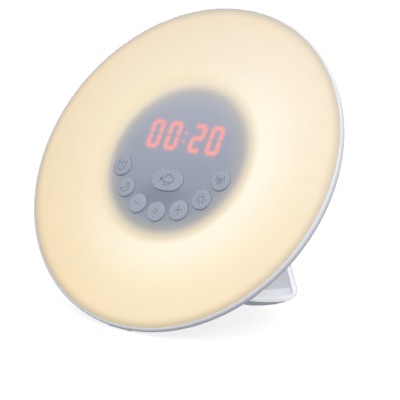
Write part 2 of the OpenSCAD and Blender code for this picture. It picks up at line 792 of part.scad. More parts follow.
module round_key(a) color([0.66, 0.69, 0.74]) in_body() translate(key_place(a)) {
    r = key_d / 2;
    rotate_extrude() polygon(concat(
        [[0, key_top], [r - 3 * key_soft, key_top - key_crown]],
        [for (i = [0:4]) let (t = 22.5 * i)
            [r - key_soft * (1 - sin(t)), key_top - 2 * key_crown - key_soft * (1 - cos(t))]],
        [[r, flange_top], [r + flange_w, flange_top], [r + flange_w, flange_back],
         [stem_r, flange_back], [stem_r, stem_end], [0, stem_end]]
    ));
}

module key_alarm() round_key(key_angles[0]);
module key_sleep() round_key(key_angles[1]);
module key_minus() round_key(key_angles[2]);
module key_light() round_key(key_angles[3]);
module key_plus() round_key(key_angles[4]);
module key_brightness() round_key(key_angles[5]);
module key_radio() round_key(key_angles[6]);

module key_sound() color([0.66, 0.69, 0.74]) in_body() translate(oval_place) {
    soft = key_soft;
    hull() {
        translate([0, 0, flange_top]) linear_extrude(key_top - flange_top - soft) oval_2d(oval_w, oval_h);
        for (step = [[0.3, 0.7], [0, 2.4]]) translate([0, 0, key_top - step[0] * soft - SKIN])
            linear_extrude(SKIN) oval_2d(oval_w - step[1] * soft, oval_h - step[1] * soft);
    }
    translate([0, 0, flange_back]) linear_extrude(flange_t + SKIN)
        oval_2d(oval_w + 2 * flange_w, oval_h + 2 * flange_w);
    bar_z(stem_r, stem_end, flange_back + SKIN);
}

// ---------------------------------------------------------------- parts on the main board

module clock_chip() color([0.12, 0.12, 0.13]) in_body() translate(clock_chip_place)
    block(clock_chip_size[0], clock_chip_size[1], board_back - clock_chip_size[2], board_back);

module radio_chip() color([0.14, 0.14, 0.15]) in_body() translate(radio_chip_place)
    block(radio_chip_size[0], radio_chip_size[1], board_back - radio_chip_size[2], board_back);

module crystal() color([0.78, 0.78, 0.8]) in_body() translate(crystal_place)
    bar_z(crystal_size[0], board_back - crystal_size[1], board_back);

module capacitors() color([0.25, 0.3, 0.55]) in_body() around(capacitor_ring_r, capacitor_angles)
    bar_z(capacitor_size[0], board_back - capacitor_size[1], board_back);

module wire_sockets() color([0.93, 0.93, 0.9]) in_body()
    for (p = [speaker_plug, led_plug, cell_plug, power_plug])
        translate(p) block(plug_size[0], plug_size[1], board_back - plug_size[2], board_back);

module led_lead() color([0.8, 0.15, 0.12]) in_body() for (s = [-1, 1]) {
    x = s * lead_pitch;
    wire([[x, -led_wire_r, -tray_depth], [x, -led_wire_r, lead_level],
        [x, led_plug[1] - plug_size[1] / 2, lead_level]], lead_r);
}

module speaker_lead() color([0.15, 0.15, 0.16]) in_body() for (s = [-1, 1]) {
    y = speaker_up + s * lead_pitch;
    level = (basket_top + plug_back) / 2;
    wire([[magnet_r + lead_start_gap, y, level], [speaker_plug[0], y, level],
        [speaker_plug[0], y, plug_back]], lead_r);
}

// A lead that rises from a part in the hub, runs under the board and ends in a wire socket
module hub_lead(from, start_z, run_z, to) for (s = [-1, 1]) {
    x = s * lead_pitch;
    wire([[from[0] + x, from[1], start_z], [from[0] + x, from[1], run_z],
        [to[0] + x, to[1], run_z], [to[0] + x, to[1], plug_back]], lead_r);
}

module cell_lead() color([0.8, 0.15, 0.12]) in_body()
    hub_lead([cup_x + cell_lead_in, side_fit_up], cup_floor + cup_floor_t, plug_back - lead_clear, cell_plug);

module power_lead() color([0.15, 0.15, 0.16]) in_body() {
    start_z = socket_front + socket_board_t;
    hub_lead([socket_x - power_lead_in, side_fit_up], start_z, (start_z + plug_back) / 2, power_plug);
}

module antenna_wire() color([0.2, 0.2, 0.22]) in_body() rotate(antenna_turn) {
    ring_r = rim_r - antenna_inset;
    level = dish_inner(ring_r) + lead_r + antenna_lift;
    under = -tray_depth - tray_wall - antenna_drop;
    pad_x = tube_r - antenna_pad;
    translate([0, 0, level]) rotate_extrude(angle = antenna_sweep) translate([ring_r, 0]) circle(r = lead_r);
    translate([ring_r, 0, level]) sphere(r = joint_swell * lead_r);
    wire([[ring_r, 0, level], [ring_r - antenna_slope, 0, under], [pad_x, 0, under],
        [pad_x, 0, board_back]], antenna_tail_r);
}

// ---------------------------------------------------------------- loudspeaker

module speaker_gasket() color([0.15, 0.15, 0.15]) in_body() translate([0, speaker_up, 0])
    ring_z(speaker_r, speaker_r - gasket_w, hub_in, speaker_front);

module speaker_frame() color([0.35, 0.36, 0.38]) in_body() translate([0, speaker_up, 0]) difference() {
    union() {
        bar_z(speaker_r, speaker_front, speaker_front + frame_t);
        translate([0, 0, speaker_front + frame_t - SKIN])
            cylinder(r1 = speaker_r - basket_wall, r2 = magnet_r, h = basket_h + SKIN);
        around(ear_reach, ear_angles) bar_z(ear_r, ear_plane, ear_plane + frame_t);
        for (a = ear_angles) rotate(a) translate([ear_start, -ear_arm_w / 2, ear_plane])
            cube([ear_reach - ear_start, ear_arm_w, frame_t]);
    }
    translate([0, 0, speaker_front - SKIN]) cylinder(r1 = speaker_r - gasket_w + CUT,
        r2 = magnet_r - basket_wall, h = frame_t + basket_h - basket_floor_t);
    around(ear_reach, ear_angles) bar_z(screw_r + screw_clear, ear_plane - CUT, ear_plane + frame_t + CUT);
    bar_z(pole_r + pole_gap, -hub_depth, 0);
}

module speaker_magnet() color([0.3, 0.3, 0.32]) in_body() translate([0, speaker_up, 0]) {
    bar_z(magnet_r, basket_top, basket_top + magnet_t);
    bar_z(pole_r, basket_top - pole_t, basket_top + SKIN);
}

module speaker_cone() color([0.12, 0.12, 0.12]) in_body() translate([0, speaker_up, 0]) {
    wide = speaker_r - gasket_w - cone_gap;
    z = [for (rise = cone_rise) speaker_front + rise];
    rotate_extrude()
        polygon([[wide, z[0]], [wide, z[1]], [cone_cap_r, z[5]], [0, z[3]], [0, z[2]], [cone_cap_r, z[4]]]);
}

module speaker_screws() color([0.7, 0.7, 0.72]) in_body() translate([0, speaker_up, ear_plane + frame_t])
    around(ear_reach, ear_angles)
        screw(screw_r, frame_t + ear_boss_h - pilot_end - screw_end_gap, head_r, head_t);

// ---------------------------------------------------------------- socket and battery

module power_socket() color([0.75, 0.76, 0.78]) in_body() translate([socket_x, side_fit_up, 0]) {
    difference() {
        block(socket_w, socket_h, recess_floor, socket_front);
        block(socket_w - 2 * socket_wall, socket_h - 2 * socket_wall, recess_floor - CUT,
            socket_front - socket_back_t);
    }
    block(tongue_size[0], tongue_size[1], recess_floor + tongue_inset, socket_front - socket_back_t + SKIN);
}

module socket_board() color([0.1, 0.4, 0.25]) in_body() translate([socket_x, side_fit_up, 0]) difference() {
    block(socket_board_w, socket_board_h, socket_front, socket_front + socket_board_t);
    for (s = [-1, 1]) translate([s * socket_screw_x, 0, 0])
        bar_z(screw_r + screw_clear, socket_front - CUT, socket_front + socket_board_t + CUT);
}

module socket_screws() color([0.7, 0.7, 0.72]) in_body() for (s = [-1, 1])
    translate([socket_x + s * socket_screw_x, side_fit_up, socket_front + socket_board_t])
        screw(screw_r, socket_board_t + screw_bite, head_r, head_t);

module coin_cell() color([0.8, 0.8, 0.8]) in_body() translate([cup_x, side_fit_up, 0]) {
    bar_z(cell_d / 2, cell_back, cell_front - cell_step[1]);
    bar_z(cell_d / 2 - cell_step[0], cell_front - cell_step[1] - SKIN, cell_front);
}

module cell_contacts() color([0.85, 0.72, 0.35]) in_body() translate([cup_x, side_fit_up, 0]) {
    bar_z(contact_r, cup_floor - contact_t, cup_floor);
    difference() {
        block(spring_w, spring_out, cell_front, cup_floor - contact_t + SKIN);
        block(spring_w + CUT, spring_in, cell_front - CUT, cup_floor + CUT);
    }
}

module battery_door() color([0.93, 0.93, 0.95]) in_body() difference() {
    door_shape(0, -hub_depth, door_in);
    at_tab() {
        bar_z(screw_r + screw_clear, -hub_depth - CUT, door_in + CUT);
        bar_z(head_r + screw_clear, -hub_depth - CUT, door_in - door_land_t);
    }
    translate([cup_x, side_fit_up, 0]) rotate(tab_angle) for (i = [-1:1])
        translate([0, i * door_rib_pitch, 0])
            block(door_rib[0], door_rib[1], -hub_depth - CUT, -hub_depth + door_rib[2]);
}

module door_screw() color([0.7, 0.7, 0.72]) in_body() at_tab() translate([0, 0, door_in - door_land_t])
    mirror([0, 0, 1]) screw(screw_r, door_screw_len, head_r, slot_t + SKIN);

module case_screws() color([0.6, 0.6, 0.62]) in_body() around(case_screw_r, case_screw_angles)
    translate([0, 0, case_seat]) mirror([0, 0, 1]) screw(screw_r, case_screw_len, case_head_r, case_head_t);

// ---------------------------------------------------------------- stand

// Outline of the stand seen from its hollow side: a foot with a straight middle and arched
// ends, round corners and tapered sides
function stand_outline(half_w, foot_y, corner, arch_r, top_y) = let (
    arch_c = [foot_flat, foot_y + arch_r],
    cx = half_w - corner,
    cy = arch_c[1] - sqrt(pow(arch_r - corner, 2) - pow(cx - foot_flat, 2)),
    turn = atan2(cy - arch_c[1], cx - foot_flat),
    side = [cx + corner * cos(stand_taper), cy + corner * sin(stand_taper)],
    top_x = side[0] - (top_y - side[1]) * tan(stand_taper),
    half = concat(
        [for (i = [0:5]) let (a = -90 + (turn + 90) * i / 5) arch_c + arch_r * [cos(a), sin(a)]],
        [for (i = [1:6]) let (a = turn + (stand_taper - turn) * i / 6) [cx, cy] + corner * [cos(a), sin(a)]],
        [[top_x, top_y]]
    )
) concat(half, [for (i = [len(half) - 1:-1:0]) [-half[i][0], half[i][1]]]);

// A slab of the stand's outline, smaller by inset on its sides and by lift at its foot
module stand_slab(inset, lift, top_y, z0, z1) translate([0, 0, z0]) linear_extrude(z1 - z0)
    polygon(stand_outline(stand_w / 2 - inset, -stand_len + lift, stand_corner - inset,
        foot_arch_r - lift, top_y));

module stand() color([0.94, 0.94, 0.97]) in_stand() difference() {
    union() {
        difference() {
            hull() {
                stand_slab(back_bevel, back_bevel, 0, stand_back, stand_back + back_flat_t);
                stand_slab(0, 0, 0, stand_back + back_bevel, stand_front);
            }
            hull() {
                stand_slab(side_wall, foot_bar + foot_ramp, tray_top, plate_front, stand_front);
                stand_slab(side_wall, foot_bar, tray_top, stand_front - lip_t, stand_front + CUT);
            }
        }
        bar_x(barrel_r, -barrel_end, barrel_end);
        translate([-heel_half_w, 0, -heel_t / 2]) cube([2 * heel_half_w, heel_len, heel_t]);
    }
    for (s = [-1, 1]) {
        translate([s > 0 ? slot_in : -slot_out, -lug_r - slot_end_gap, -FAR / 2])
            cube([slot_out - slot_in, FAR, FAR]);
        bar_x(pin_d / 2, s > 0 ? pin_in : -pin_out, s > 0 ? pin_out : -pin_in);
        translate([s > 0 ? barrel_end : -barrel_end - FAR, -barrel_r - shoulder_gap, -FAR / 2]) cube(FAR);
    }
}

module hinge_pins() color([0.75, 0.76, 0.78]) in_stand() for (s = [-1, 1])
    bar_x(pin_d / 2, s > 0 ? pin_in : -pin_out, s > 0 ? pin_out : -pin_in);

module hinge_washers() color([0.78, 0.79, 0.8]) in_stand() for (s = [-1, 1]) difference() {
    edge = slot_out - washer_t;
    bar_x(washer_r, s > 0 ? edge : -slot_out, s > 0 ? slot_out : -edge);
    bar_x(pin_d / 2 + pin_gap, -FAR, FAR);
}

// Two rubber feet under the lower edge, ground flat where they meet the table
module stand_feet() color([0.35, 0.35, 0.38]) difference() {
    in_stand() intersection() {
        difference() {
            translate([0, 0, stand_back + back_bevel]) linear_extrude(stand_t - back_bevel)
                polygon(stand_outline(stand_w / 2 - pad_inset, -stand_len - pad_drop,
                    stand_corner - pad_corner_trim, pad_arch_r, 0));
            translate([0, 0, stand_back - CUT]) linear_extrude(stand_t + 2 * CUT)
                polygon(stand_outline(stand_w / 2, -stand_len, stand_corner, foot_arch_r, CUT));
        }
        for (s = [-1, 1]) translate([s > 0 ? pad_start : -pad_end, -FAR / 2, -FAR / 2])
            cube([pad_end - pad_start, FAR, FAR]);
    }
    translate([-FAR / 2, -FAR / 2, -FAR]) cube(FAR);
}

// ---------------------------------------------------------------- pieces

front_cover();
screen_film();
light_tray();
back_shell();
rim_foot();
led_board();
leds();
led_board_screws();
main_board();
board_screws();
display_block();
display_digits();
key_switches();
key_mat();
key_alarm();
key_sleep();
key_minus();
key_light();
key_plus();
key_brightness();
key_radio();
key_sound();
clock_chip();
radio_chip();
crystal();
capacitors();
wire_sockets();
led_lead();
speaker_lead();
cell_lead();
power_lead();
antenna_wire();
speaker_gasket();
speaker_frame();
speaker_magnet();
speaker_cone();
speaker_screws();
power_socket();
socket_board();
socket_screws();
coin_cell();
cell_contacts();
battery_door();
door_screw();
case_screws();
stand();
hinge_pins();
hinge_washers();
stand_feet();
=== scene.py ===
"""Sunrise alarm clock: the looks of the round, back-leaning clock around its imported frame.

The face has its own axes, in which most pieces are drawn: X to the right, V up the face and
N out of the face, with N = 0 at the front edge of the rim. Lengths there are in millimetres,
and face_matrix() turns them into the frame's metres. The stand is drawn the same way in the
axes of stand_matrix(), whose origin is the hinge.
"""
import json
from functools import wraps
from math import atan2, cos, degrees, hypot, pi, radians, sin, sqrt, tan

import bmesh
import bpy
from bpy.props import FloatProperty, FloatVectorProperty, IntProperty
from mathutils import Matrix, Vector


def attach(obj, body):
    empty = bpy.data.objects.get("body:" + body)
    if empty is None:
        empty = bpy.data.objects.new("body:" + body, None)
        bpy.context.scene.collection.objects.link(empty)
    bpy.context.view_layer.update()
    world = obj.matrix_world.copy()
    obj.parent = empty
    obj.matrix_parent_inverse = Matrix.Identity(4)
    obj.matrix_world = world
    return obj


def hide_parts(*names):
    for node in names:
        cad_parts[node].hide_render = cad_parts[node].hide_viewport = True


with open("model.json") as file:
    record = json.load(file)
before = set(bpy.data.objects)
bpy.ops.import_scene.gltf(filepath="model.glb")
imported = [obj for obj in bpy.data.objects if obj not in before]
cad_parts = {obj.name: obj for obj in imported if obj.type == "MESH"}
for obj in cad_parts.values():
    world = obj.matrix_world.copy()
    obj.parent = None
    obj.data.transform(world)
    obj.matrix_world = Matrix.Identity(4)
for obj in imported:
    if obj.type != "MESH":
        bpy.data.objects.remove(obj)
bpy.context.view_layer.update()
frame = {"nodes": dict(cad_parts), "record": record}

bl_info = {
    "name": "Sunrise alarm clock",
    "version": (1, 0, 0),
    "blender": (4, 5, 0),
    "location": "View3D > Sidebar > Clock",
    "description": "Dresses the packed frame of a round sunrise alarm clock, piece by piece",
    "category": "Object",
}

NODES = frame["nodes"]
JOINTS = {joint["name"]: joint for joint in frame["record"]["behaviour"]["joints"]}
SLOTS = {part["node"]: part["material_slot"] for part in frame["record"]["subparts"]}

# The round keys from left to right
KEYS = ("key_alarm", "key_sleep", "key_minus", "key_light", "key_plus", "key_brightness",
        "key_radio")

MILLIMETRE = Matrix.Scale(0.001, 4)
MERGE = 1e-5            # points of a drawn shape that are closer become one, in its own unit
NODE_MERGE = 2e-7       # the same for a frame node's loose triangles, in metres
ON_AXIS = 1e-6          # a lathe point closer to the axis is a pole


# ---- sizes and colours

def srgb(red, green, blue):
    """A colour written as 0 to 255 display values, as the linear colour that Blender wants."""
    def linear(v):
        v /= 255
        return v / 12.92 if v <= 0.04045 else ((v + 0.055) / 1.055) ** 2.4
    return linear(red), linear(green), linear(blue)


def length(name, text, mm):
    return FloatProperty(name=name, description=text, default=mm / 1000, unit="LENGTH",
                         precision=5)


def angle(name, text, deg):
    return FloatProperty(name=name, description=text, default=radians(deg), subtype="ANGLE")


def colour(name, text, *rgb):
    return FloatVectorProperty(name=name, description=text, default=srgb(*rgb), subtype="COLOR",
                               min=0, max=1)


def face_axes():
    """The face's up and out directions and its middle, read from the frame."""
    out = -Vector(JOINTS["key_light_press"]["axis"]).normalized()
    up = out.cross(Vector((1, 0, 0)))
    rim = [v.co for v in NODES["back_shell"].data.vertices]
    lens = [v.co.dot(up) for v in NODES["front_cover"].data.vertices]
    middle = out * max(p.dot(out) for p in rim) + up * (max(lens) + min(lens)) / 2
    return up, out, middle


FACE_UP, FACE_OUT, FACE_MIDDLE = face_axes()
FACE_LEAN = atan2(FACE_OUT.z, -FACE_OUT.y)


class ClockSizes(bpy.types.PropertyGroup):
    """Sizes of the dressed pieces, which stay with the frame's own pieces"""
    rim_radius: length("Rim radius", "Outer radius of the round body", 94)
    cover_rise: length("Cover rise", "How far the cover's middle stands out of the rim", 1.9)
    cover_dome: length("Cover dome", "How much the cover's middle stands over its edge", 0.8)
    cover_edge: length("Cover edge", "Width of the cover's rounded edge", 4)
    cover_wall: length("Cover wall", "Thickness of the cover", 2.4)
    cover_skirt: length("Cover skirt", "Thickness of the cover's skirt", 1.8)
    seat_depth: length("Seat depth", "Depth of the ledge that the skirt stands on", 3)
    cover_gap: length("Cover gap", "Gap between the cover and the rim's lip", 0.15)
    lip_round: length("Lip rounding", "Radius of the rim's inner lip", 1.4)
    key_width: length("Key width", "Diameter of a round key", 11.2)
    key_proud: length("Key rise", "How far a key stands out of the cover", 1)
    key_soft: length("Key rounding", "Radius of a key's upper edge", 0.6)
    key_gap: length("Key gap", "Gap around a key in its hole", 0.12)
    key_ring: length("Key arc", "Radius of the arc that the round keys stand on", 34.5)
    key_ring_up: length("Key arc middle", "Height of the arc's middle above the face's middle", 3.9)
    key_step: angle("Key step", "Angle between two neighbouring round keys", 22.989)
    oval_width: length("Oval key width", "Width of the oval key", 19.8)
    oval_height: length("Oval key height", "Height of the oval key", 12.2)
    oval_down: length("Oval key place", "How far the oval key lies below the face's middle", 12.6)
    glyph_stroke: length("Sign stroke", "Width of the strokes printed on the round keys", 0.42)
    oval_stroke: length("Oval sign stroke", "Width of the strokes on the oval key", 0.55)
    digit_width: length("Digit width", "Width of a lit digit between its strokes' middles", 5.8)
    digit_height: length("Digit height", "Height of a lit digit, measured the same way", 14.3)
    digit_stroke: length("Digit stroke", "Width at which a lit stroke has half its light", 2.7)
    digit_up: length("Digit place", "Height of the lit digits above the face's middle", 13.1)
    screen_radius: length("Screen radius", "Radius of the soft grey screen", 42)
    screw_head: length("Case screw head", "Radius of a case screw's head", 2.6)
    screw_ring: length("Case screw ring", "Radius of the circle of the case screws", 66)
    lamp_ring: length("Lamp ring", "Radius of the circle that the lamps stand on", 52)
    lamp_count: IntProperty(name="Lamps", description="Number of lamps on the ring", default=18,
                            min=3)
    rim_round: length("Rim rounding", "Radius of the rim's outer edge", 3.4)
    foot_rise: length("Rim foot rise", "How far the rim's foot stands out of the rim", 0.35)
    stand_lean: angle("Stand lean", "How far the opened stand leans forward from upright", 14)
    stand_width: length("Stand width", "Width of the stand at its foot", 130)
    stand_length: length("Stand length", "From the hinge down to the white lower edge", 43.83)
    stand_wall: length("Stand wall", "Thickness of the stand's side walls", 1.6)
    stand_bar: length("Stand bar", "Width of the stand's foot bar", 3.8)
    stand_lip: length("Stand lip", "Rounding of the stand's front edges", 0.4)
    stand_round: length("Stand rounding", "Rounding of the stand's back edges", 3.0)
    stand_corner: length("Stand corner", "Radius of the stand's outer corners", 7.2)
    hollow_corner: length("Hollow corner", "Radius of the corners of the stand's hollow", 4)
    heel_length: length("Heel length", "Length of the stop above the stand's hinge", 6.97)


class ClockColours(bpy.types.PropertyGroup):
    """Colours of the clock's finishes"""
    # The glow colours are the cover's own light; the difference between their bright and dim sides
    # is painted light.
    glow_peak: colour("Glow, brightest", "Lit ring beside the screen, bright side", 255, 250, 230)
    glow_low: colour("Glow, dimmest", "Lit ring beside the screen, dim side", 249, 232, 200)
    glow_edge: colour("Glow at the rim", "Lit cover near the rim, bright side", 251, 235, 207)
    glow_edge_low: colour("Glow at the rim, dim", "Lit cover near the rim, dim side",
                          242, 222, 188)
    screen_top: colour("Screen, upper part", "Grey screen above the digits", 165, 170, 186)
    screen_low: colour("Screen, lower part", "Grey screen around the keys", 137, 147, 164)
    # Painted shadow of the oval key: the darkest grey of the screen, under that key
    screen_dark: colour("Screen, darkest", "Grey screen under the oval key", 113, 122, 137)
    digit_light: colour("Lit digit", "Light of a stroke through the cover", 248, 165, 160)
    digit_haze: colour("Digit haze", "Haze around a lit stroke", 186, 160, 182)
    key_plastic: colour("Key plastic", "Blue-grey key plastic", 158, 165, 178)
    key_ink: colour("Key ink", "Ink of the signs on the keys", 112, 120, 135)
    shell_white: colour("Shell white", "White plastic of the body", 226, 227, 234)
    stand_white: colour("Stand white", "White plastic of the stand", 246, 247, 251)
    # Painted shade: the darker white on the floor of the stand's hollow side
    hollow_white: colour("Stand hollow", "Matt floor of the stand's hollow side", 212, 214, 221)
    shell_dust: colour("Dust", "Fine dust on surfaces that face up", 205, 202, 196)
    rubber_grey: colour("Rubber", "Grey rubber of the stand's feet", 152, 154, 164)
    steel_bright: colour("Bright steel", "Screws and pins", 205, 208, 212)
    floor_pale: colour("Floor", "Pale floor", 105, 105, 110)


def sizes():
    return bpy.context.scene.clock_sizes


def colours():
    return bpy.context.scene.clock_colours


def mm(value):
    """A length property in millimetres."""
    return value * 1000


def rgba(rgb):
    return rgb[0], rgb[1], rgb[2], 1


# ---- shapes

def face_matrix():
    """Turns the face's millimetres into the frame's metres."""
    turn = Matrix((Vector((1, 0, 0)), FACE_UP, FACE_OUT)).transposed().to_4x4()
    return Matrix.Translation(FACE_MIDDLE) @ turn @ MILLIMETRE


def stand_matrix():
    """Turns the stand's own millimetres, hinge line at the origin, into the frame's metres."""
    hinge = JOINTS["stand_hinge"]["pos_m"]
    middle = Vector((0, hinge[1], hinge[2]))
    lean = sizes().stand_lean
    along = Vector((0, -sin(lean), cos(lean)))
    hollow = Vector((0, -cos(lean), -sin(lean)))
    lowest = min((v.co for v in NODES["stand_feet"].data.vertices), key=lambda p: p.z)
    if (lowest - middle).dot(along) > 0:
        raise ValueError("the stand's feet lie above its hinge")
    turn = Matrix((Vector((1, 0, 0)), along, hollow)).transposed().to_4x4()
    return Matrix.Translation(middle) @ turn @ MILLIMETRE


def arc(middle, radius, start, end, steps):
    """Points of an arc, in degrees, with both its ends."""
    turn = [radians(start + (end - start) * i / steps) for i in range(steps + 1)]
    return [(middle[0] + radius * cos(t), middle[1] + radius * sin(t)) for t in turn]


def circle_points(radius, middle=(0, 0), steps=36):
    turn = [2 * pi * k / steps for k in range(steps)]
    return [(middle[0] + radius * cos(t), middle[1] + radius * sin(t)) for t in turn]


def lathe(profile, steps):
    """Turns a profile of (radius, height) about the Z axis. A point on the axis is a pole."""
    verts, faces, rings = [], [], []
    for radius, height in profile:
        if radius < ON_AXIS:
            rings.append([len(verts)] * steps)
            verts.append((0, 0, height))
        else:
            rings.append(list(range(len(verts), len(verts) + steps)))
            verts += [(x, y, height) for x, y in circle_points(radius, steps=steps)]
    joints = len(profile) - 1 if profile[0][0] < ON_AXIS else len(profile)
    for i in range(joints):
        a, b = rings[i], rings[(i + 1) % len(rings)]
        for k in range(steps):
            m = (k + 1) % steps
            corners = list(dict.fromkeys((a[k], a[m], b[m], b[k])))
            if len(corners) > 2:
                faces.append(corners)
    return verts, faces


def loft(rings):
    """A solid through rings of equally many points, closed by a flat face at each end."""
    verts = [p for ring in rings for p in ring]
    n = len(rings[0])
    faces = [list(range(n))[::-1], list(range(len(verts) - n, len(verts)))]
    for i in range(len(rings) - 1):
        for k in range(n):
            m = (k + 1) % n
            faces.append([i * n + k, i * n + m, (i + 1) * n + m, (i + 1) * n + k])
    return verts, faces


def block(low, high):
    """A box between two corners."""
    (x0, y0, z0), (x1, y1, z1) = low, high
    return loft([[(x0, y0, z), (x1, y0, z), (x1, y1, z), (x0, y1, z)] for z in (z0, z1)])


def bar_along_x(radius, start, end):
    """A round bar whose axis is X."""
    return loft([[(x, y, z) for y, z in circle_points(radius, steps=48)] for x in (start, end)])


def make_mesh(name, shape, matrix=None):
    """A mesh from (points, faces) with outward faces, placed by a matrix."""
    mesh = bpy.data.meshes.new(name)
    mesh.from_pydata([tuple(p) for p in shape[0]], [], shape[1])
    shell = bmesh.new()
    shell.from_mesh(mesh)
    bmesh.ops.remove_doubles(shell, verts=shell.verts, dist=MERGE)
    bmesh.ops.recalc_face_normals(shell, faces=shell.faces)
    shell.to_mesh(mesh)
    shell.free()
    if matrix is not None:
        mesh.transform(matrix)
    mesh.update()
    return mesh


def add_object(name, mesh):
    piece = bpy.data.objects.new(name, mesh)
    bpy.context.scene.collection.objects.link(piece)
    return piece


def drop_object(piece):
    """Removes a helper object and its mesh."""
    mesh = piece.data
    bpy.data.objects.remove(piece)
    bpy.data.meshes.remove(mesh)


def take_modifiers(piece):
    """Makes the modifiers' result the piece's own plain mesh."""
    bpy.context.view_layer.update()
    graph = bpy.context.evaluated_depsgraph_get()
    old = piece.data
    fresh = bpy.data.meshes.new_from_object(piece.evaluated_get(graph), depsgraph=graph)
    piece.modifiers.clear()
    piece.data = fresh
    fresh.name = piece.name
    bpy.data.meshes.remove(old)


def combine(piece, tool_shape, operation, matrix=None):
    """Joins a shape to a piece, or cuts it out of the piece."""
    tool = add_object("tool", make_mesh("tool", tool_shape, matrix))
    change = piece.modifiers.new("change", "BOOLEAN")
    change.operation = operation
    change.solver = "EXACT"
    change.object = tool
    take_modifiers(piece)
    drop_object(tool)
    if not piece.data.polygons:
        raise RuntimeError("nothing is left of " + piece.name)


def smooth(mesh, limit):
    """Smooth shading, with an edge kept where the faces turn by more than limit degrees."""
    mesh.shade_smooth()
    mesh.set_sharp_from_angle(angle=radians(limit))


def node_copy(node, name, limit):
    """A merged copy of a frame node's mesh, with smooth round faces."""
    mesh = NODES[node].data.copy()
    mesh.name = name
    mesh.materials.clear()
    shell = bmesh.new()
    shell.from_mesh(mesh)
    bmesh.ops.remove_doubles(shell, verts=shell.verts, dist=NODE_MERGE)
    shell.to_mesh(mesh)
    shell.free()
    normals = mesh.attributes.get("custom_normal")
    if normals:
        mesh.attributes.remove(normals)
    smooth(mesh, limit)
    return add_object(name, mesh)


def finish_piece(piece, material, slot, body, *replaced):
    """Gives a piece its finish, its body and the frame nodes that it stands for."""
    piece.data.materials.clear()
    piece.data.materials.append(material)
    for face in piece.data.polygons:
        face.material_index = 0
    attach(piece, body)
    if replaced:
        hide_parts(*replaced)


# ---- node trees

def made_once(store, name):
    """Hands a maker its name, and later hands out what bpy.data keeps under that name."""
    def wrap(make):
        @wraps(make)
        def found_or_made():
            return getattr(bpy.data, store).get(name) or make(name)
        return found_or_made
    return wrap


class Wires:
    """Short ways to add linked nodes to one tree. A lower-case name is a setting of the node. An
    input goes by its socket's name, or by i and its number where sockets share a name."""

    def __init__(self, tree):
        self.tree = tree

    def node(self, kind, **values):
        made = self.tree.nodes.new(kind)
        for key, value in values.items():
            if key[1:].isdigit():
                self.set(made, int(key[1:]), value)
            elif key.islower():
                setattr(made, key, value)
            else:
                self.set(made, key.replace("_", " "), value)
        return made

    def set(self, node, key, value):
        """Links a socket to an input, or writes a plain value on it."""
        if isinstance(value, bpy.types.NodeSocket):
            self.tree.links.new(value, node.inputs[key])
        else:
            node.inputs[key].default_value = value

    def end(self, kind, shader):
        """Adds the tree's output and links a shader to it."""
        self.tree.links.new(shader.outputs[0], self.node(kind).inputs[0])

    def group(self, tree, **inputs):
        return self.node("ShaderNodeGroup", node_tree=tree, **inputs)

    def math(self, operation, a, b=0.0, clamp=False):
        return self.node("ShaderNodeMath", operation=operation, use_clamp=clamp, i0=a,
                         i1=b).outputs[0]

    def vector(self, operation, a, b=(0, 0, 0)):
        made = self.node("ShaderNodeVectorMath", operation=operation, i0=a, i1=b)
        return made.outputs["Value" if operation in ("LENGTH", "DOT_PRODUCT") else "Vector"]

    def spread(self, value, low, high, to_low=0.0, to_high=1.0, soft=True):
        """Maps a value from one range to another, with soft ends."""
        kind = "SMOOTHSTEP" if soft else "LINEAR"
        return self.node("ShaderNodeMapRange", interpolation_type=kind, Value=value, From_Min=low,
                         From_Max=high, To_Min=to_low, To_Max=to_high).outputs[0]

    def mix(self, factor, a, b, blend="MIX"):
        """Mixes two colours."""
        return self.node("ShaderNodeMix", data_type="RGBA", blend_type=blend, i0=factor, i6=a,
                         i7=b).outputs[2]

    def between(self, factor, a, b):
        """Mixes two numbers."""
        return self.node("ShaderNodeMix", data_type="FLOAT", i0=factor, i2=a, i3=b).outputs[0]

    def noise(self, vector, scale, detail=2.0, roughness=0.5):
        return self.node("ShaderNodeTexNoise", Vector=vector, Scale=scale, Detail=detail,
                         Roughness=roughness).outputs[0]

    def ramp(self, factor, stops):
        """A colour ramp through (place, colour) stops."""
        made = self.node("ShaderNodeValToRGB", Fac=factor)
        band = made.color_ramp
        while len(band.elements) > 1:
            band.elements.remove(band.elements[-1])
        band.elements[0].position, band.elements[0].color = stops[0][0], rgba(stops[0][1])
        for place, tone in stops[1:]:
            band.elements.new(place).color = rgba(tone)
        return made.outputs[0]


def new_group(name, inputs, outputs, kind="ShaderNodeTree"):
    """An empty node group with its sockets: (name, type, default) or (name, type)."""
    group = bpy.data.node_groups.new(name, kind)
    for side, sockets in (("INPUT", inputs), ("OUTPUT", outputs)):
        for socket in sockets:
            made = group.interface.new_socket(name=socket[0], in_out=side,
                                              socket_type="NodeSocket" + socket[1])
            if len(socket) > 2:
                made.default_value = socket[2]
    given, out = group.nodes.new("NodeGroupInput"), group.nodes.new("NodeGroupOutput")
    return Wires(group), given.outputs, out.inputs


# ---- shader groups

@made_once("node_groups", "moulded_grain")
def moulded_grain(name):
    """Fine grain of moulded plastic or rubber: bump height, and a slightly uneven roughness."""
    w, given, out = new_group(
        name,
        [("Vector", "Vector"), ("Grain Scale", "Float", 2600.0), ("Roughness", "Float", 0.5),
         ("Roughness Spread", "Float", 0.06)],
        [("Height", "Float"), ("Roughness", "Float")])
    patch_scale = 38.0
    grain = w.noise(given["Vector"], given["Grain Scale"], 3.0, 0.6)
    patches = w.noise(given["Vector"], patch_scale, 3.0, 0.55)
    shift = w.math("MULTIPLY", w.math("SUBTRACT", patches, 0.5), given["Roughness Spread"])
    rough = w.math("ADD", given["Roughness"], w.math("MULTIPLY", shift, 2.0), clamp=True)
    w.tree.links.new(grain, out["Height"])
    w.tree.links.new(rough, out["Roughness"])
    return w.tree


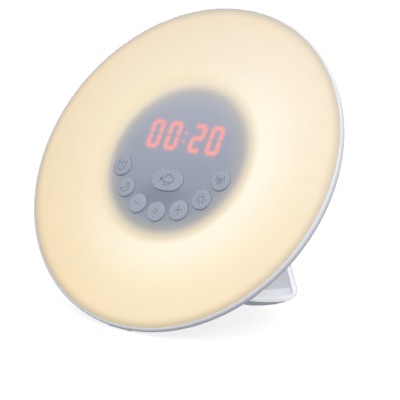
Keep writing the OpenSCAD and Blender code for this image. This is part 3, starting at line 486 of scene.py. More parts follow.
@made_once("node_groups", "handled_surface")
def handled_surface(name):
    """Light use: fine dust where a surface faces up, a faint uneven tone and a little rubbing."""
    w, given, out = new_group(
        name,
        [("Vector", "Vector"), ("Surface Color", "Color"), ("Dust Color", "Color"),
         ("Dust", "Float", 0.1), ("Tone", "Float", 0.05), ("Rubbing", "Float", 0.05)],
        [("Color", "Color"), ("Rubbed", "Float")])
    speck_scale, tone_scale, rub_scale = 420.0, 24.0, 95.0
    black, rubbed_white = (0.0, 0.0, 0.0, 1.0), (0.85, 0.86, 0.88, 1.0)
    normal = w.node("ShaderNodeNewGeometry").outputs["Normal"]
    upward = w.spread(w.vector("DOT_PRODUCT", normal, (0, 0, 1)), 0.35, 0.95)
    specks = w.spread(w.noise(given["Vector"], speck_scale, 4.0, 0.7), 0.45, 0.75)
    film = w.math("ADD", w.math("MULTIPLY", specks, 0.6), 0.4)
    dust = w.math("MULTIPLY", w.math("MULTIPLY", upward, film), given["Dust"])
    uneven = w.spread(w.noise(given["Vector"], tone_scale, 3.0, 0.5), 0.25, 0.75)
    darker = w.mix(w.math("MULTIPLY", uneven, given["Tone"]), given["Surface Color"], black)
    worn = w.spread(w.noise(given["Vector"], rub_scale, 5.0, 0.65), 0.58, 0.8)
    rub = w.math("MULTIPLY", worn, given["Rubbing"])
    lighter = w.mix(rub, darker, rubbed_white)
    w.tree.links.new(w.mix(dust, lighter, given["Dust Color"]), out["Color"])
    w.tree.links.new(rub, out["Rubbed"])
    return w.tree


@made_once("node_groups", "brushed_lines")
def brushed_lines(name):
    """Fine drawn lines of turned or brushed metal: bump height and roughness."""
    w, given, out = new_group(
        name,
        [("Vector", "Vector"), ("Line Scale", "Float", 900.0), ("Roughness", "Float", 0.3)],
        [("Height", "Float"), ("Roughness", "Float")])
    line_stretch, line_roughness = (0.06, 1.0, 1.0), 0.18
    drawn = w.node("ShaderNodeMapping", Vector=given["Vector"], Scale=line_stretch)
    lines = w.noise(drawn.outputs[0], given["Line Scale"])
    rough = w.math("ADD", given["Roughness"], w.math("MULTIPLY", lines, line_roughness), clamp=True)
    w.tree.links.new(lines, out["Height"])
    w.tree.links.new(rough, out["Roughness"])
    return w.tree


@made_once("node_groups", "lit_bar")
def lit_bar(name):
    """Distance from a point of the face to one straight display stroke, in millimetres."""
    w, given, out = new_group(
        name, [("Vector", "Vector"), ("Middle", "Vector"), ("Half Size", "Vector")],
        [("Distance", "Float")])
    apart = w.vector("ABSOLUTE", w.vector("SUBTRACT", given["Vector"], given["Middle"]))
    past = w.vector("MAXIMUM", w.vector("SUBTRACT", apart, given["Half Size"]), (0, 0, 0))
    w.tree.links.new(w.vector("LENGTH", past), out["Distance"])
    return w.tree


# ---- plain materials

GRAIN_DEPTH = 0.00004   # depth of the bump of moulded grain, in metres
LINE_DEPTH = 0.00003    # and of drawn lines in metal


def emptied(owner):
    """The wires of a material's or a world's own tree, with nothing in it."""
    owner.use_nodes = True
    owner.node_tree.nodes.clear()
    return Wires(owner.node_tree)


def new_material(name, **constants):
    """A material with one Principled shader, whose plain numbers stand on its own sockets."""
    material = bpy.data.materials.new(name)
    w = emptied(material)
    shader = w.node("ShaderNodeBsdfPrincipled", **constants)
    w.end("ShaderNodeOutputMaterial", shader)
    return material, w, shader


def object_coordinates(w):
    return w.node("ShaderNodeTexCoord").outputs["Object"]


def handled(w, tone, dust, rubbing):
    """A colour with light dust and rubbing over it."""
    used = w.group(handled_surface(), Vector=object_coordinates(w), Surface_Color=tone,
                   Dust_Color=rgba(colours().shell_dust), Dust=dust, Rubbing=rubbing)
    return used.outputs["Color"]


def coat(w, shader, tone, texture, bump, depth):
    """Gives a shader its colour, and the roughness and height that a texture group puts out."""
    w.set(shader, "Base Color", tone)
    w.set(shader, "Roughness", texture.outputs["Roughness"])
    made = w.node("ShaderNodeBump", Height=texture.outputs["Height"], Strength=bump,
                  Distance=depth)
    w.set(shader, "Normal", made.outputs[0])


def grained(w, shader, tone, grain, roughness, bump):
    """Coats a shader with the grain of moulded plastic."""
    texture = w.group(moulded_grain(), Vector=object_coordinates(w), Grain_Scale=grain,
                      Roughness=roughness)
    coat(w, shader, tone, texture, bump, GRAIN_DEPTH)


def plastic(name, tone, roughness, grain, bump=0.12, dust=0.06, rubbing=0.03):
    """Moulded plastic, rubber or paper: grain, dust and a faint uneven tone."""
    if name in bpy.data.materials:
        return bpy.data.materials[name]
    material, w, shader = new_material(name)
    grained(w, shader, handled(w, rgba(tone), dust, rubbing), grain, roughness, bump)
    return material


def metal(name, tone, roughness=0.28, lines=900.0):
    """Drawn or turned metal."""
    if name in bpy.data.materials:
        return bpy.data.materials[name]
    material, w, shader = new_material(name, Metallic=1.0)
    texture = w.group(brushed_lines(), Vector=object_coordinates(w), Line_Scale=lines,
                      Roughness=roughness)
    coat(w, shader, handled(w, rgba(tone), 0.04, 0.1), texture, 0.15, LINE_DEPTH)
    return material


def white_shell():
    return plastic("satin_white_shell", colours().shell_white, 0.42, 2400.0, 0.1, 0.05, 0.02)


def key_plastic():
    return plastic("blue_grey_key", colours().key_plastic, 0.5, 3200.0, 0.12, 0.03, 0.04)


def key_ink():
    return plastic("key_ink", colours().key_ink, 0.6, 3200.0, 0.08, 0.02, 0.06)


def rubber():
    return plastic("grey_rubber", colours().rubber_grey, 0.8, 1800.0, 0.3, 0.2, 0.05)


def bright_steel():
    return metal("bright_steel", colours().steel_bright)


# Heights along the stand's outward axis, in metres, between which the white of its edges turns
# into painted shade, a darker white on the floor of its hollow side
HOLLOW_SHADE_HEIGHTS = (-0.0009, -0.00145)


@made_once("materials", "satin_white_stand")
def stand_plastic(name):
    """The stand's white plastic, with painted shade that darkens the floor of its hollow side."""
    material, w, shader = new_material(name)
    place = stand_matrix()
    out = place.to_3x3().col[2].normalized()
    from_hinge = w.vector("SUBTRACT", object_coordinates(w), tuple(place.translation))
    # painted shade, darker towards the floor of the hollow
    hollow = w.spread(w.vector("DOT_PRODUCT", from_hinge, tuple(out)), *HOLLOW_SHADE_HEIGHTS)
    tone = w.mix(hollow, rgba(colours().stand_white), rgba(colours().hollow_white))
    grained(w, shader, handled(w, tone, 0.05, 0.02), 2400.0, 0.45, 0.1)
    return material


@made_once("materials", "lamp_chip")
def lamp_finish(name):
    """Yellow lamp chip, mottled in yellow and pale yellow, faintly lit."""
    material, w, shader = new_material(name, Roughness=0.35, Emission_Strength=0.6)
    cell_scale = 1500.0
    cells = w.noise(object_coordinates(w), cell_scale)
    glow = w.ramp(cells, [(0.3, srgb(255, 214, 110)), (0.7, srgb(255, 238, 180))])
    w.set(shader, "Base Color", glow)
    w.set(shader, "Emission Color", glow)
    return material


# ---- lit cover

# Middles of the four lit digits from left to right, in millimetres, and their strokes: top, upper
# right, lower right, bottom, lower left, upper left and middle
DIGITS = ((-18.4, "111111 "), (-6.65, "111111 "), (9.15, "11 11 1"), (20.3, "111111 "))
FLAT_TRIM = 1.0         # how far a level stroke's middle line stops short of the corners
TALL_TRIM = 1.35        # and an upright stroke's
TALL_SHIFT = 0.1        # how far past the middle of its half of the digit an upright stroke lies
DOTS = ((1.0, 15.35), (1.0, 10.5))      # between the hours and the minutes
DOT_TRIM = 0.55         # how much smaller a dot's radius is than half a stroke
ENDLESS = 1000          # half depth of a stroke, which counts on the face only

# Light of the cover by distance from its middle, in millimetres, on its bright and on its dim
# side. The glow is the cover's own light; its brighter lower right side is painted light, and the
# darker stops past 87 are painted shade on the cover's rounded edge. A word stands for one of
# ClockColours.
BRIGHT_GLOW = (
    (30, "screen_top"), (35, (170, 174, 186)), (38, (177, 178, 182)), (40, (187, 184, 183)),
    (42, (206, 199, 189)), (43.4, (225, 214, 196)), (45, (236, 224, 200)),
    (46.6, (247, 237, 212)), (49, "glow_peak"), (56, (255, 249, 230)), (66, (255, 244, 219)),
    # the stops past 87 are painted shade on the cover's rounded edge
    (78, (253, 238, 211)), (87, "glow_edge"), (89, (247, 231, 203)), (90.2, (239, 222, 195)),
    (91.6, (220, 207, 182)))
DIM_GLOW = (
    (30, "screen_low"), (35, (145, 152, 162)), (38, (157, 160, 164)), (40, (169, 168, 168)),
    (42, (197, 190, 180)), (43.4, (219, 207, 188)), (45, (233, 218, 190)),
    (46.6, (240, 223, 192)), (49, (245, 228, 195)), (54, "glow_low"), (64, (246, 229, 198)),
    # the stops past 87 are painted shade on the cover's rounded edge
    (78, (244, 226, 193)), (87, "glow_edge_low"), (89, (230, 211, 178)), (90.2, (218, 202, 175)),
    (91.6, (199, 190, 167)))
BORDER_RADIUS = 42      # radius of the soft border that these lists are drawn for
BORDER_STOPS = (34, 47)         # stops between these move with the screen's radius
SCREEN_MIDDLE = (0.55, 0.2, 0)
RIM_ZONE = (48, 60)             # where rings round the screen turn into rings round the face
GLOW_ZONE = (43, 49)            # where the screen's own light turns into the glow's
TINT_ZONE = (43, 72)            # where the glow's warm and cool tint sets in
SCREEN_LIGHT = (-26, 34)        # heights between which the screen gets lighter
# painted light: the glow is drawn brightest in this direction
PAINTED_LIGHT_HEADING = -28               # direction of the brightest glow, in degrees from the right
COOL_SIDE = 85                  # direction of its coolest tint
WARM_TINT, COOL_TINT = (0.99, 0.95, 0.845, 1.0), (0.99, 1.0, 1.08, 1.0)
# Painted shadow of the oval key on the screen: a dark oval under it
SHADE_MIDDLE, SHADE_SIZE = (-1.0, -21.5, 0), (19, 10)       # dark oval under the oval key
SHADE_STRENGTH = 0.62
MOTTLE_TONE, MOTTLE_STRENGTH = (0.42, 0.4, 0.42, 1.0), 0.022
REFLECTED = (0.23, 0.23, 0.23, 1.0)     # share of its colour that the cover throws back
GIVEN_OFF = (0.742, 0.74, 0.73, 1.0)    # and the share that it gives off by itself


def face_coordinates(w):
    """A point's place on the face, as (x, v, 0) in millimetres."""
    turn = FACE_LEAN - pi / 2
    back = Matrix.Rotation(turn, 3, "X") @ FACE_MIDDLE
    face = w.node("ShaderNodeMapping", Vector=object_coordinates(w),
                  Location=tuple(-1000 * back), Rotation=(turn, 0, 0), Scale=(1000, 1000, 1000))
    return w.vector("MULTIPLY", face.outputs[0], (1, 1, 0))


def toward(w, flat, deg):
    """1 where a point lies in a direction from the face's middle, and -1 on the other side."""
    heading = (cos(radians(deg)), sin(radians(deg)), 0)
    return w.vector("DOT_PRODUCT", w.vector("NORMALIZE", flat), heading)


def glow_ramp(w, share, stops):
    """Colour by the distance from the middle as a share of the rim's radius."""
    s, c = sizes(), colours()
    moved = mm(s.screen_radius) - BORDER_RADIUS
    made = []
    for radius, tone in stops:
        if BORDER_STOPS[0] < radius < BORDER_STOPS[1]:
            radius += moved
        tone = getattr(c, tone) if isinstance(tone, str) else srgb(*tone)
        made.append((radius / mm(s.rim_radius), tone))
    return w.ramp(share, made)


def cover_glow(w, flat):
    """Colour of the lit cover: a soft grey screen in the middle and a warm glow around it, with
    painted light on its lower right side and painted shade on its rounded edge.
    """
    from_middle = w.vector("LENGTH", flat)
    from_screen = w.vector("LENGTH", w.vector("SUBTRACT", flat, SCREEN_MIDDLE))
    radius = w.between(w.spread(from_middle, *RIM_ZONE), from_screen, from_middle)
    share = w.math("DIVIDE", radius, mm(sizes().rim_radius))
    height = w.node("ShaderNodeSeparateXYZ", Vector=flat).outputs[1]
    upward = w.spread(height, *SCREEN_LIGHT, soft=False)
    # painted light, brighter towards the lower right
    painted_light_side = w.spread(toward(w, flat, PAINTED_LIGHT_HEADING), -0.9, 0.85)
    side = w.between(w.spread(radius, *GLOW_ZONE), upward, painted_light_side)
    glow = w.mix(side, glow_ramp(w, share, DIM_GLOW), glow_ramp(w, share, BRIGHT_GLOW))
    cool_side = w.spread(toward(w, flat, COOL_SIDE), -1, 1, soft=False)
    tint = w.mix(cool_side, WARM_TINT, COOL_TINT)
    return w.mix(w.spread(radius, *TINT_ZONE, soft=False), glow, tint, "MULTIPLY")


def key_shadow_and_mottle(w, flat, glow):
    """Painted shadow, a dark oval under the oval key, and a faint mottling."""
    size = (1 / SHADE_SIZE[0], 1 / SHADE_SIZE[1], 0)
    off_shade = w.vector("MULTIPLY", w.vector("SUBTRACT", flat, SHADE_MIDDLE), size)
    shade = w.spread(w.vector("LENGTH", off_shade), 1.25, 0.1, 0.0, SHADE_STRENGTH)
    glow = w.mix(shade, glow, rgba(colours().screen_dark))
    clouds = w.noise(object_coordinates(w), 55.0, 3.0, 0.6)
    return w.mix(w.spread(clouds, 0.3, 0.7, 0.0, MOTTLE_STRENGTH), glow, MOTTLE_TONE)


def digit_distance(w, flat):
    """Distance from a point of the face to the nearest lit stroke or dot, in millimetres."""
    s = sizes()
    half_w, half_h, up = mm(s.digit_width) / 2, mm(s.digit_height) / 2, mm(s.digit_up)
    level, tall, mid = half_w - FLAT_TRIM, half_h / 2 - TALL_TRIM, half_h / 2 + TALL_SHIFT
    strokes = ((0, half_h, level, 0), (half_w, mid, 0, tall), (half_w, -mid, 0, tall),
               (0, -half_h, level, 0), (-half_w, -mid, 0, tall), (-half_w, mid, 0, tall),
               (0, 0, level, 0))
    bars = [(middle + x, up + y, w_half, h_half, 0)
            for middle, lit in DIGITS
            for (x, y, w_half, h_half), on in zip(strokes, lit) if on == "1"]
    bars += [(x, y, 0, 0, DOT_TRIM) for x, y in DOTS]
    nearest = None
    for x, y, half_x, half_y, trim in bars:
        bar = w.group(lit_bar(), Vector=flat, Middle=(x, y, 0), Half_Size=(half_x, half_y, ENDLESS))
        away = w.math("ADD", bar.outputs[0], trim) if trim else bar.outputs[0]
        nearest = away if nearest is None else w.math("MINIMUM", nearest, away)
    return nearest


def lit_time(w, flat, glow):
    """Adds the lit strokes of the time, with the haze around them, to the cover's colour."""
    c, away = colours(), digit_distance(w, flat)
    half = mm(sizes().digit_stroke) / 2
    haze = w.spread(away, half + 3.0, half - 0.2, 0.0, 0.48)
    stroke = w.spread(away, half + 0.75, half - 0.95)
    return w.mix(stroke, w.mix(haze, glow, rgba(c.digit_haze)), rgba(c.digit_light))


@made_once("materials", "lit_milky_cover")
def lit_cover(name):
    """Milky cover lit from behind, which gives off most of its colour and reflects the rest. The
    painted light, shade and shadow in that colour are given off with it.
    """
    material, w, shader = new_material(name, Roughness=0.5, Emission_Strength=1.0)
    flat = face_coordinates(w)
    glow = lit_time(w, flat, key_shadow_and_mottle(w, flat, cover_glow(w, flat)))
    w.set(shader, "Emission Color", w.mix(1.0, glow, GIVEN_OFF, "MULTIPLY"))
    grained(w, shader, w.mix(1.0, glow, REFLECTED, "MULTIPLY"), 2200.0, 0.5, 0.06)
    return material


# ---- finishes by slot

# Finish of each carried-over slot: kind, colour, roughness, grain or line scale
INNER_FINISHES = {
    "screen_tint": ("plastic", (150, 156, 168), 0.35, 2400.0),
    "white_tray": ("plastic", (246, 246, 243), 0.6, 2200.0),
    "lit_segment": ("plastic", (246, 150, 142), 0.5, 2800.0),
    "display_black": ("plastic", (52, 52, 56), 0.6, 2600.0),
    "silicone": ("plastic", (226, 227, 233), 0.65, 2000.0),
    "board_white": ("plastic", (240, 241, 238), 0.4, 1500.0),
    "board_green": ("plastic", (36, 108, 74), 0.35, 1500.0),
    "dark_plastic": ("plastic", (46, 46, 49), 0.5, 2600.0),
    "pale_plastic": ("plastic", (238, 237, 228), 0.45, 2600.0),
    "dark_steel": ("metal", (110, 111, 116), 0.45, 700.0),
    "contact_brass": ("metal", (226, 203, 132), 0.3, 900.0),
    "wire_red": ("plastic", (196, 44, 36), 0.5, 1800.0),
    "wire_black": ("plastic", (34, 34, 37), 0.5, 1800.0),
    "cone_paper": ("plastic", (44, 43, 43), 0.85, 900.0),
    "can_blue": ("plastic", (72, 84, 148), 0.25, 2600.0),
}
OWN_FINISHES = {"white_shell": white_shell, "key_plastic": key_plastic, "rubber_grey": rubber,
                "bright_steel": bright_steel, "light_cover": lit_cover, "lamp": lamp_finish}


def slot_finish(slot):
    """The finish of one of the record's material slots."""
    if slot in OWN_FINISHES:
        return OWN_FINISHES[slot]()
    kind, tone, roughness, scale = INNER_FINISHES[slot]
    make = metal if kind == "metal" else plastic
    return make("finish_" + slot, srgb(*tone), roughness, scale)


# ---- repeated pieces

@made_once("node_groups", "copies_around_ring")
def ring_tree(name):
    """Geometry nodes: copies of the given shape around a ring, each turned with its place."""
    w, given, out = new_group(
        name,
        [("Shape", "Geometry"), ("Count", "Int", 4), ("Ring Radius", "Float", 0.02),
         ("First Angle", "Float", 0.0), ("Finish", "Material")],
        [("Shape", "Geometry")], "GeometryNodeTree")
    line = w.node("GeometryNodeMeshLine", Count=given["Count"])
    index = w.node("GeometryNodeInputIndex").outputs[0]
    share = w.math("DIVIDE", index, given["Count"])
    turn = w.math("ADD", w.math("MULTIPLY", share, 2 * pi), given["First Angle"])
    x = w.math("MULTIPLY", w.math("COSINE", turn), given["Ring Radius"])
    y = w.math("MULTIPLY", w.math("SINE", turn), given["Ring Radius"])
    place = w.node("ShaderNodeCombineXYZ", X=x, Y=y)
    ring = w.node("GeometryNodeSetPosition", Geometry=line.outputs[0],
                  Position=place.outputs[0])
    heading = w.node("ShaderNodeCombineXYZ", Z=turn)
    copies = w.node("GeometryNodeInstanceOnPoints", Points=ring.outputs[0],
                    Instance=given["Shape"], Rotation=heading.outputs[0])
    real = w.node("GeometryNodeRealizeInstances", Geometry=copies.outputs[0])
    finish = w.node("GeometryNodeSetMaterial", Geometry=real.outputs[0],
                    Material=given["Finish"])
    w.tree.links.new(finish.outputs[0], out[0])
    return w.tree


def around_ring(name, shape, count, radius, first, material, matrix):
    """Copies of a shape, in millimetres, around a middle: one plain mesh, put in place."""
    piece = add_object(name, make_mesh(name, shape, MILLIMETRE))
    smooth(piece.data, 30)
    tree = ring_tree()
    copies = piece.modifiers.new("copies", "NODES")
    copies.node_group = tree
    values = {"Count": count, "Ring Radius": radius / 1000, "First Angle": radians(first),
              "Finish": material}
    for item in tree.interface.items_tree:
        if item.item_type == "SOCKET" and item.in_out == "INPUT" and item.name in values:
            copies[item.identifier] = values[item.name]
    take_modifiers(piece)
    piece.data.transform(matrix @ MILLIMETRE.inverted())
    piece.data.update()
    if not piece.data.polygons:
        raise RuntimeError("the ring of copies is empty: " + name)
    return piece


def screw_shape(shank, head, head_height, drive=0.9):
    """A pan-head screw along Z, head up, with a fine thread and a cross drive, in millimetres."""
    radius, pitch, drive_depth = 1.05, 0.8, 0.7
    root, neck, point = radius * 0.82, radius * 0.9, radius * 0.5
    soft = min(0.45, head_height * 0.4)
    profile = [(0, -shank), (point, -shank)]
    for i in range(int((shank - 0.6) / pitch)):
        z = -shank + 0.35 + i * pitch
        profile += [(root, z), (radius, z + 0.3), (root, z + 0.6)]
    profile += [(neck, 0), (head, 0), (head, head_height - soft)]
    profile += [(head - soft * (1 - cos(radians(t))), head_height - soft * (1 - sin(radians(t))))
                for t in (30, 60)]
    profile += [(head - soft, head_height), (0, head_height)]
    screw = add_object("screw", make_mesh("screw", lathe(profile, 32)))
    arm, reach = drive * 0.32, drive * 1.35
    for x, y in ((reach, arm), (arm, reach)):
        cross = block((-x, -y, head_height - drive_depth), (x, y, head_height + 1))
        combine(screw, cross, "DIFFERENCE")
    verts = [v.co[:] for v in screw.data.vertices]
    faces = [list(p.vertices) for p in screw.data.polygons]
    drop_object(screw)
    return verts, faces


# ---- cover and keys

EDGE_SINK = 0.4         # depth of the cover's outer edge below the rim's front
SKIRT_CHAMFER = 0.25    # on the skirt's outer back edge
# The cover's inner corner, as (distance inside the skirt, depth behind the back face)
INNER_CORNER = ((0, 0.6), (0.5, 0.15), (1.6, 0))
# A key hole's upper end, as (height over the outer face, growth): a small rounded chamfer, then
# a cut that runs on past the face
HOLE_EDGE = ((-0.14, 0), (-0.05, 0.04), (0.02, 0.13), (0.2, 0.6), (1, 0.6))
CUT = 1                 # how far a hole runs on past the face that it opens

# Each key's foot behind the cover: a flange, and a stem with a chamfered end, in millimetres
FLANGE_TOP, FLANGE_BACK, FLANGE_W = -1.1, -2.1, 0.8
STEM_R = 2
STEM_END = ((STEM_R, -3.9), (1.85, -4.05), (0, -4.05))
OVAL_END = 0.92         # radius of the oval key's round ends, as a share of half its height
EDGE_ANGLES = range(15, 91, 15)         # steps of a key's rounded upper edge, in degrees


def key_places():
    """Middles of the round keys on the face, left to right, in millimetres."""
    s = sizes()
    ring, up = mm(s.key_ring), mm(s.key_ring_up)
    return [(ring * sin(i * s.key_step), up - ring * cos(i * s.key_step)) for i in range(-3, 4)]


def key_top(s):
    """Height of the keys' tops over the rim."""
    return mm(s.cover_rise + s.key_proud)


def oval_outline(s, inset, steps=14):
    """The oval key's outline on the face: two round ends joined by flat arcs, moved inwards."""
    width, height = mm(s.oval_width), mm(s.oval_height)
    end_r = height / 2 * OVAL_END
    end_x = width / 2 - end_r
    side_r = (end_x ** 2 + (height / 2) ** 2 - end_r ** 2) / (2 * (height / 2 - end_r))
    side_y = side_r - height / 2
    join = degrees(atan2(side_y, end_x))
    points = arc((0, -side_y), side_r - inset, join, 180 - join, steps)
    points += arc((-end_x, 0), end_r - inset, 180 - join, 180 + join, steps)[1:]
    points += arc((0, side_y), side_r - inset, 180 + join, 360 - join, steps)[1:]
    points += arc((end_x, 0), end_r - inset, -join, join, steps)[1:-1]
    return [(x, y - mm(s.oval_down)) for x, y in points]


def oval_loft(s, levels):
    """A solid through the oval key's outline at levels of (height, inset)."""
    return loft([[(x, y, z) for x, y in oval_outline(s, inset)] for z, inset in levels])


def cover_height(s, r):
    """Height of the cover's outer face over the rim, r from its middle."""
    edge_r = mm(s.rim_radius - s.lip_round - s.cover_gap - s.cover_edge)
    return mm(s.cover_rise) - mm(s.cover_dome) * (r / edge_r) ** 2


def cover_profile(s):
    """The cover's section: its domed face, rounded edge, skirt and flat back."""
    rise, edge_w, depth = mm(s.cover_rise), mm(s.cover_edge), mm(s.seat_depth)
    outer = mm(s.rim_radius - s.lip_round - s.cover_gap)
    inner, edge_r = outer - mm(s.cover_skirt), outer - edge_w
    edge_z, back = rise - mm(s.cover_dome), rise - mm(s.cover_wall)
    drop = edge_z + EDGE_SINK
    profile = [(edge_r * i / 16, cover_height(s, edge_r * i / 16)) for i in range(17)]
    turns = [radians(7.5 * i) for i in range(1, 13)]
    profile += [(edge_r + edge_w * sin(t), edge_z - drop * (1 - cos(t))) for t in turns]
    profile += [(outer, SKIRT_CHAMFER - depth), (outer - SKIRT_CHAMFER, -depth), (inner, -depth)]
    profile += [(inner - inwards, back - behind) for inwards, behind in INNER_CORNER]
    return profile + [(0, back)]


class ClockCover(bpy.types.Operator):
    """Milky light cover with its holes for the keys"""
    bl_idname = "clock.cover"
    bl_label = "Light cover"

    def execute(self, context):
        s = sizes()
        cover = add_object("light_cover", make_mesh("light_cover", lathe(cover_profile(s), 192)))
        gap, back = mm(s.key_gap), mm(s.cover_rise) - mm(s.cover_wall)
        r = mm(s.key_width) / 2 + gap
        for x, v in key_places():
            top = cover_height(s, hypot(x, v))
            hole = [(0, back - CUT), (r, back - CUT)]
            hole += [(r + grow, top + z) for z, grow in HOLE_EDGE] + [(0, top + CUT)]
            combine(cover, lathe(hole, 64), "DIFFERENCE", Matrix.Translation((x, v, 0)))
        top = cover_height(s, mm(s.oval_down))
        levels = [(back - CUT, -gap)] + [(top + z, -gap - grow) for z, grow in HOLE_EDGE]
        combine(cover, oval_loft(s, levels), "DIFFERENCE")
        cover.data.transform(face_matrix())
        smooth(cover.data, 32)
        finish_piece(cover, lit_cover(), "light_cover", "case", "front_cover")
        return {"FINISHED"}


class ClockKeys(bpy.types.Operator):
    """Seven round keys and the oval key, each with a soft edge, a flange and a stem"""
    bl_idname = "clock.keys"
    bl_label = "Keys"

    def execute(self, context):
        s = sizes()
        r, soft, top = mm(s.key_width) / 2, mm(s.key_soft), key_top(s)
        edge = [(soft * (1 - sin(radians(t))), soft * (1 - cos(radians(t)))) for t in EDGE_ANGLES]
        profile = [(0, top), (r * 0.35, top - 0.006), (r * 0.6, top - 0.022), (r - 1.8, top - 0.05),
                   (r - 1.1, top - 0.075), (r - soft, top - 0.1)]
        profile += [(r - inset, top - 0.1 - drop) for inset, drop in edge]
        profile += [(r, FLANGE_TOP), (r + FLANGE_W, FLANGE_TOP), (r + FLANGE_W, FLANGE_BACK),
                    (STEM_R, FLANGE_BACK), *STEM_END]
        for name, (x, v) in zip(KEYS, key_places()):
            place = face_matrix() @ Matrix.Translation((x, v, 0))
            key = add_object("round_" + name, make_mesh(name, lathe(profile, 72), place))
            smooth(key.data, 40)
            finish_piece(key, key_plastic(), "key_plastic", name, name)
        edge_top = top - 0.05
        levels = [(FLANGE_BACK, -FLANGE_W), (FLANGE_TOP, -FLANGE_W), (FLANGE_TOP, 0),
                  (edge_top - soft, 0)]
        levels += [(edge_top - drop, inset) for drop, inset in edge]
        levels += [(top - 0.02, soft + 0.8), (top, soft + 2.4)]
        oval = add_object("oval_key_sound", make_mesh("oval_key_sound", oval_loft(s, levels)))
        stem_root = (FLANGE_TOP + FLANGE_BACK) / 2
        combine(oval, lathe([(0, stem_root), (STEM_R, stem_root), *STEM_END], 48), "UNION",
                Matrix.Translation((0, -mm(s.oval_down), 0)))
        oval.data.transform(face_matrix())
        smooth(oval.data, 40)
        finish_piece(oval, key_plastic(), "key_plastic", "key_sound", "key_sound")
        return {"FINISHED"}


# ---- signs on the keys

SIGN_RISE = 0.012       # how far the ink stands on a key's top
INK_DEPTH = 0.05        # thickness of a stroke, most of which is sunk into the key


def stroke_sides(points, half, closed):
    """The left and right edges of a stroke along points."""
    n, left, right = len(points), [], []
    for i, p in enumerate(points):
        a = points[i - 1] if closed or i > 0 else p
        b = points[(i + 1) % n] if closed or i < n - 1 else p
        along = Vector((b[0] - a[0], b[1] - a[1])).normalized()
        side = Vector((-along.y, along.x)) * half
        left.append((p[0] + side.x, p[1] + side.y))
        right.append((p[0] - side.x, p[1] - side.y))
    return left, right


def stroke_end(start, tip, half):
    """The round end of a stroke that arrives at its tip from start."""
    heading = atan2(tip[1] - start[1], tip[0] - start[0])
    return [(tip[0] + half * cos(heading - t), tip[1] + half * sin(heading - t))
            for t in (-pi / 4, 0, pi / 4)]


def stroke_shape(points, width, z, closed=False):
    """A printed stroke: a thin ribbon along points, with round ends or closed on itself."""
    half = width / 2
    left, right = stroke_sides(points, half, closed)
    low = z - INK_DEPTH
    if closed:
        n = len(points)
        verts = [(x, y, level) for level in (z, low) for x, y in right + left]
        faces = []
        for i in range(n):
            m = (i + 1) % n
            faces += [[i, m, n + m, n + i], [2 * n + m, 2 * n + i, 3 * n + i, 3 * n + m],
                      [i, 2 * n + i, 2 * n + m, m], [n + m, 3 * n + m, 3 * n + i, n + i]]
        return verts, faces
    outline = left + stroke_end(points[-2], points[-1], half)
    outline += right[::-1] + stroke_end(points[1], points[0], half)
    return loft([[(x, y, level) for x, y in outline] for level in (low, z)])


def join_shapes(shapes):
    verts, faces = [], []
    for v, f in shapes:
        base = len(verts)
        verts += v
        faces += [[i + base for i in face] for face in f]
    return verts, faces


def turned(points, deg):
    t = radians(deg)
    return [(x * cos(t) - y * sin(t), x * sin(t) + y * cos(t)) for x, y in points]


def marks_around(distance, half):
    """Eight short strokes that point away from a sign's middle."""
    mark = [(distance - half, 0), (distance + half, 0)]
    return [(turned(mark, 45 * k), False) for k in range(8)]


def sign_strokes(name):
    """The sign printed on a key, as (points, closed) in millimetres around the key's middle."""
    level = [(-1, 0), (0, 0), (1, 0)]
    if name == "key_alarm":
        return [(circle_points(2.5), True), ([(0, 1.6), (0, 0), (1.15, -0.55)], False),
                (arc((-2.05, 2.2), 0.85, 75, 215, 6), False),
                (arc((2.05, 2.2), 0.85, 105, -35, 6), False)]
    if name == "key_sleep":
        outer = arc((-0.2, 0.1), 2.7, 75, -165, 26)
        inner = arc((-1.25, 1.05), 2.05, -138, 48, 18)
        return [(outer + inner[1:-1], True)]
    if name == "key_minus":
        return [(turned([(2.3 * x, y) for x, y in level], -20), False)]
    if name == "key_light":
        return [(circle_points(1.25), True)] + marks_around(3.0, 0.05)
    if name == "key_plus":
        return [(turned([(2.4 * x, y) for x, y in level], deg), False) for deg in (12, 102)]
    if name == "key_brightness":
        return [(circle_points(1.55), True)] + marks_around(2.75, 0.42)
    if name == "key_radio":
        top = (0, 0.9)
        waves = [(arc(top, r, a, b, 8), False) for r in (1.35, 2.45)
                 for a, b in ((-42, 42), (138, 222))]
        return waves + [([top, (-1.25, -2.6)], False), ([top, (1.25, -2.6)], False),
                        ([(-0.8, -1.3), (0.8, -1.3)], False), (circle_points(0.32, top, 12), True)]
    cloud = arc((-0.9, 0.1), 1.5, 250, 95, 10) + arc((0.7, 1.3), 2.0, 150, 35, 10)
    cloud += arc((2.7, 0.2), 1.6, 75, -95, 10)
    bolt = [(-3.3, 1.9), (-4.4, 0.3), (-3.3, 0.3), (-4.5, -1.6)]
    drops = [([(x, -2.2), (x - 0.5, -3.4)], False) for x in (-0.9, 0.8, 2.5)]
    return [(cloud, True), (bolt, False)] + drops


class ClockSigns(bpy.types.Operator):
    """Signs printed on the keys, each on its own key"""
    bl_idname = "clock.signs"
    bl_label = "Key signs"

    def execute(self, context):
        s = sizes()
        z = key_top(s) + SIGN_RISE
        for name, (x, v) in zip(KEYS + ("key_sound",), key_places() + [(0, -mm(s.oval_down))]):
            width = mm(s.oval_stroke if name == "key_sound" else s.glyph_stroke)
            shape = join_shapes([stroke_shape(points, width, z, closed)
                                 for points, closed in sign_strokes(name)])
            place = face_matrix() @ Matrix.Translation((x, v, 0))
            sign = add_object("sign_" + name, make_mesh("sign_" + name, shape, place))
            finish_piece(sign, key_ink(), "key_plastic", name)
        return {"FINISHED"}


# ---- body

SHELL_SCREW_N = -15     # height of the case screws' seats on the face's axis, in millimetres
LAMP_BOARD_N = -7.4     # height of the lamp board's front


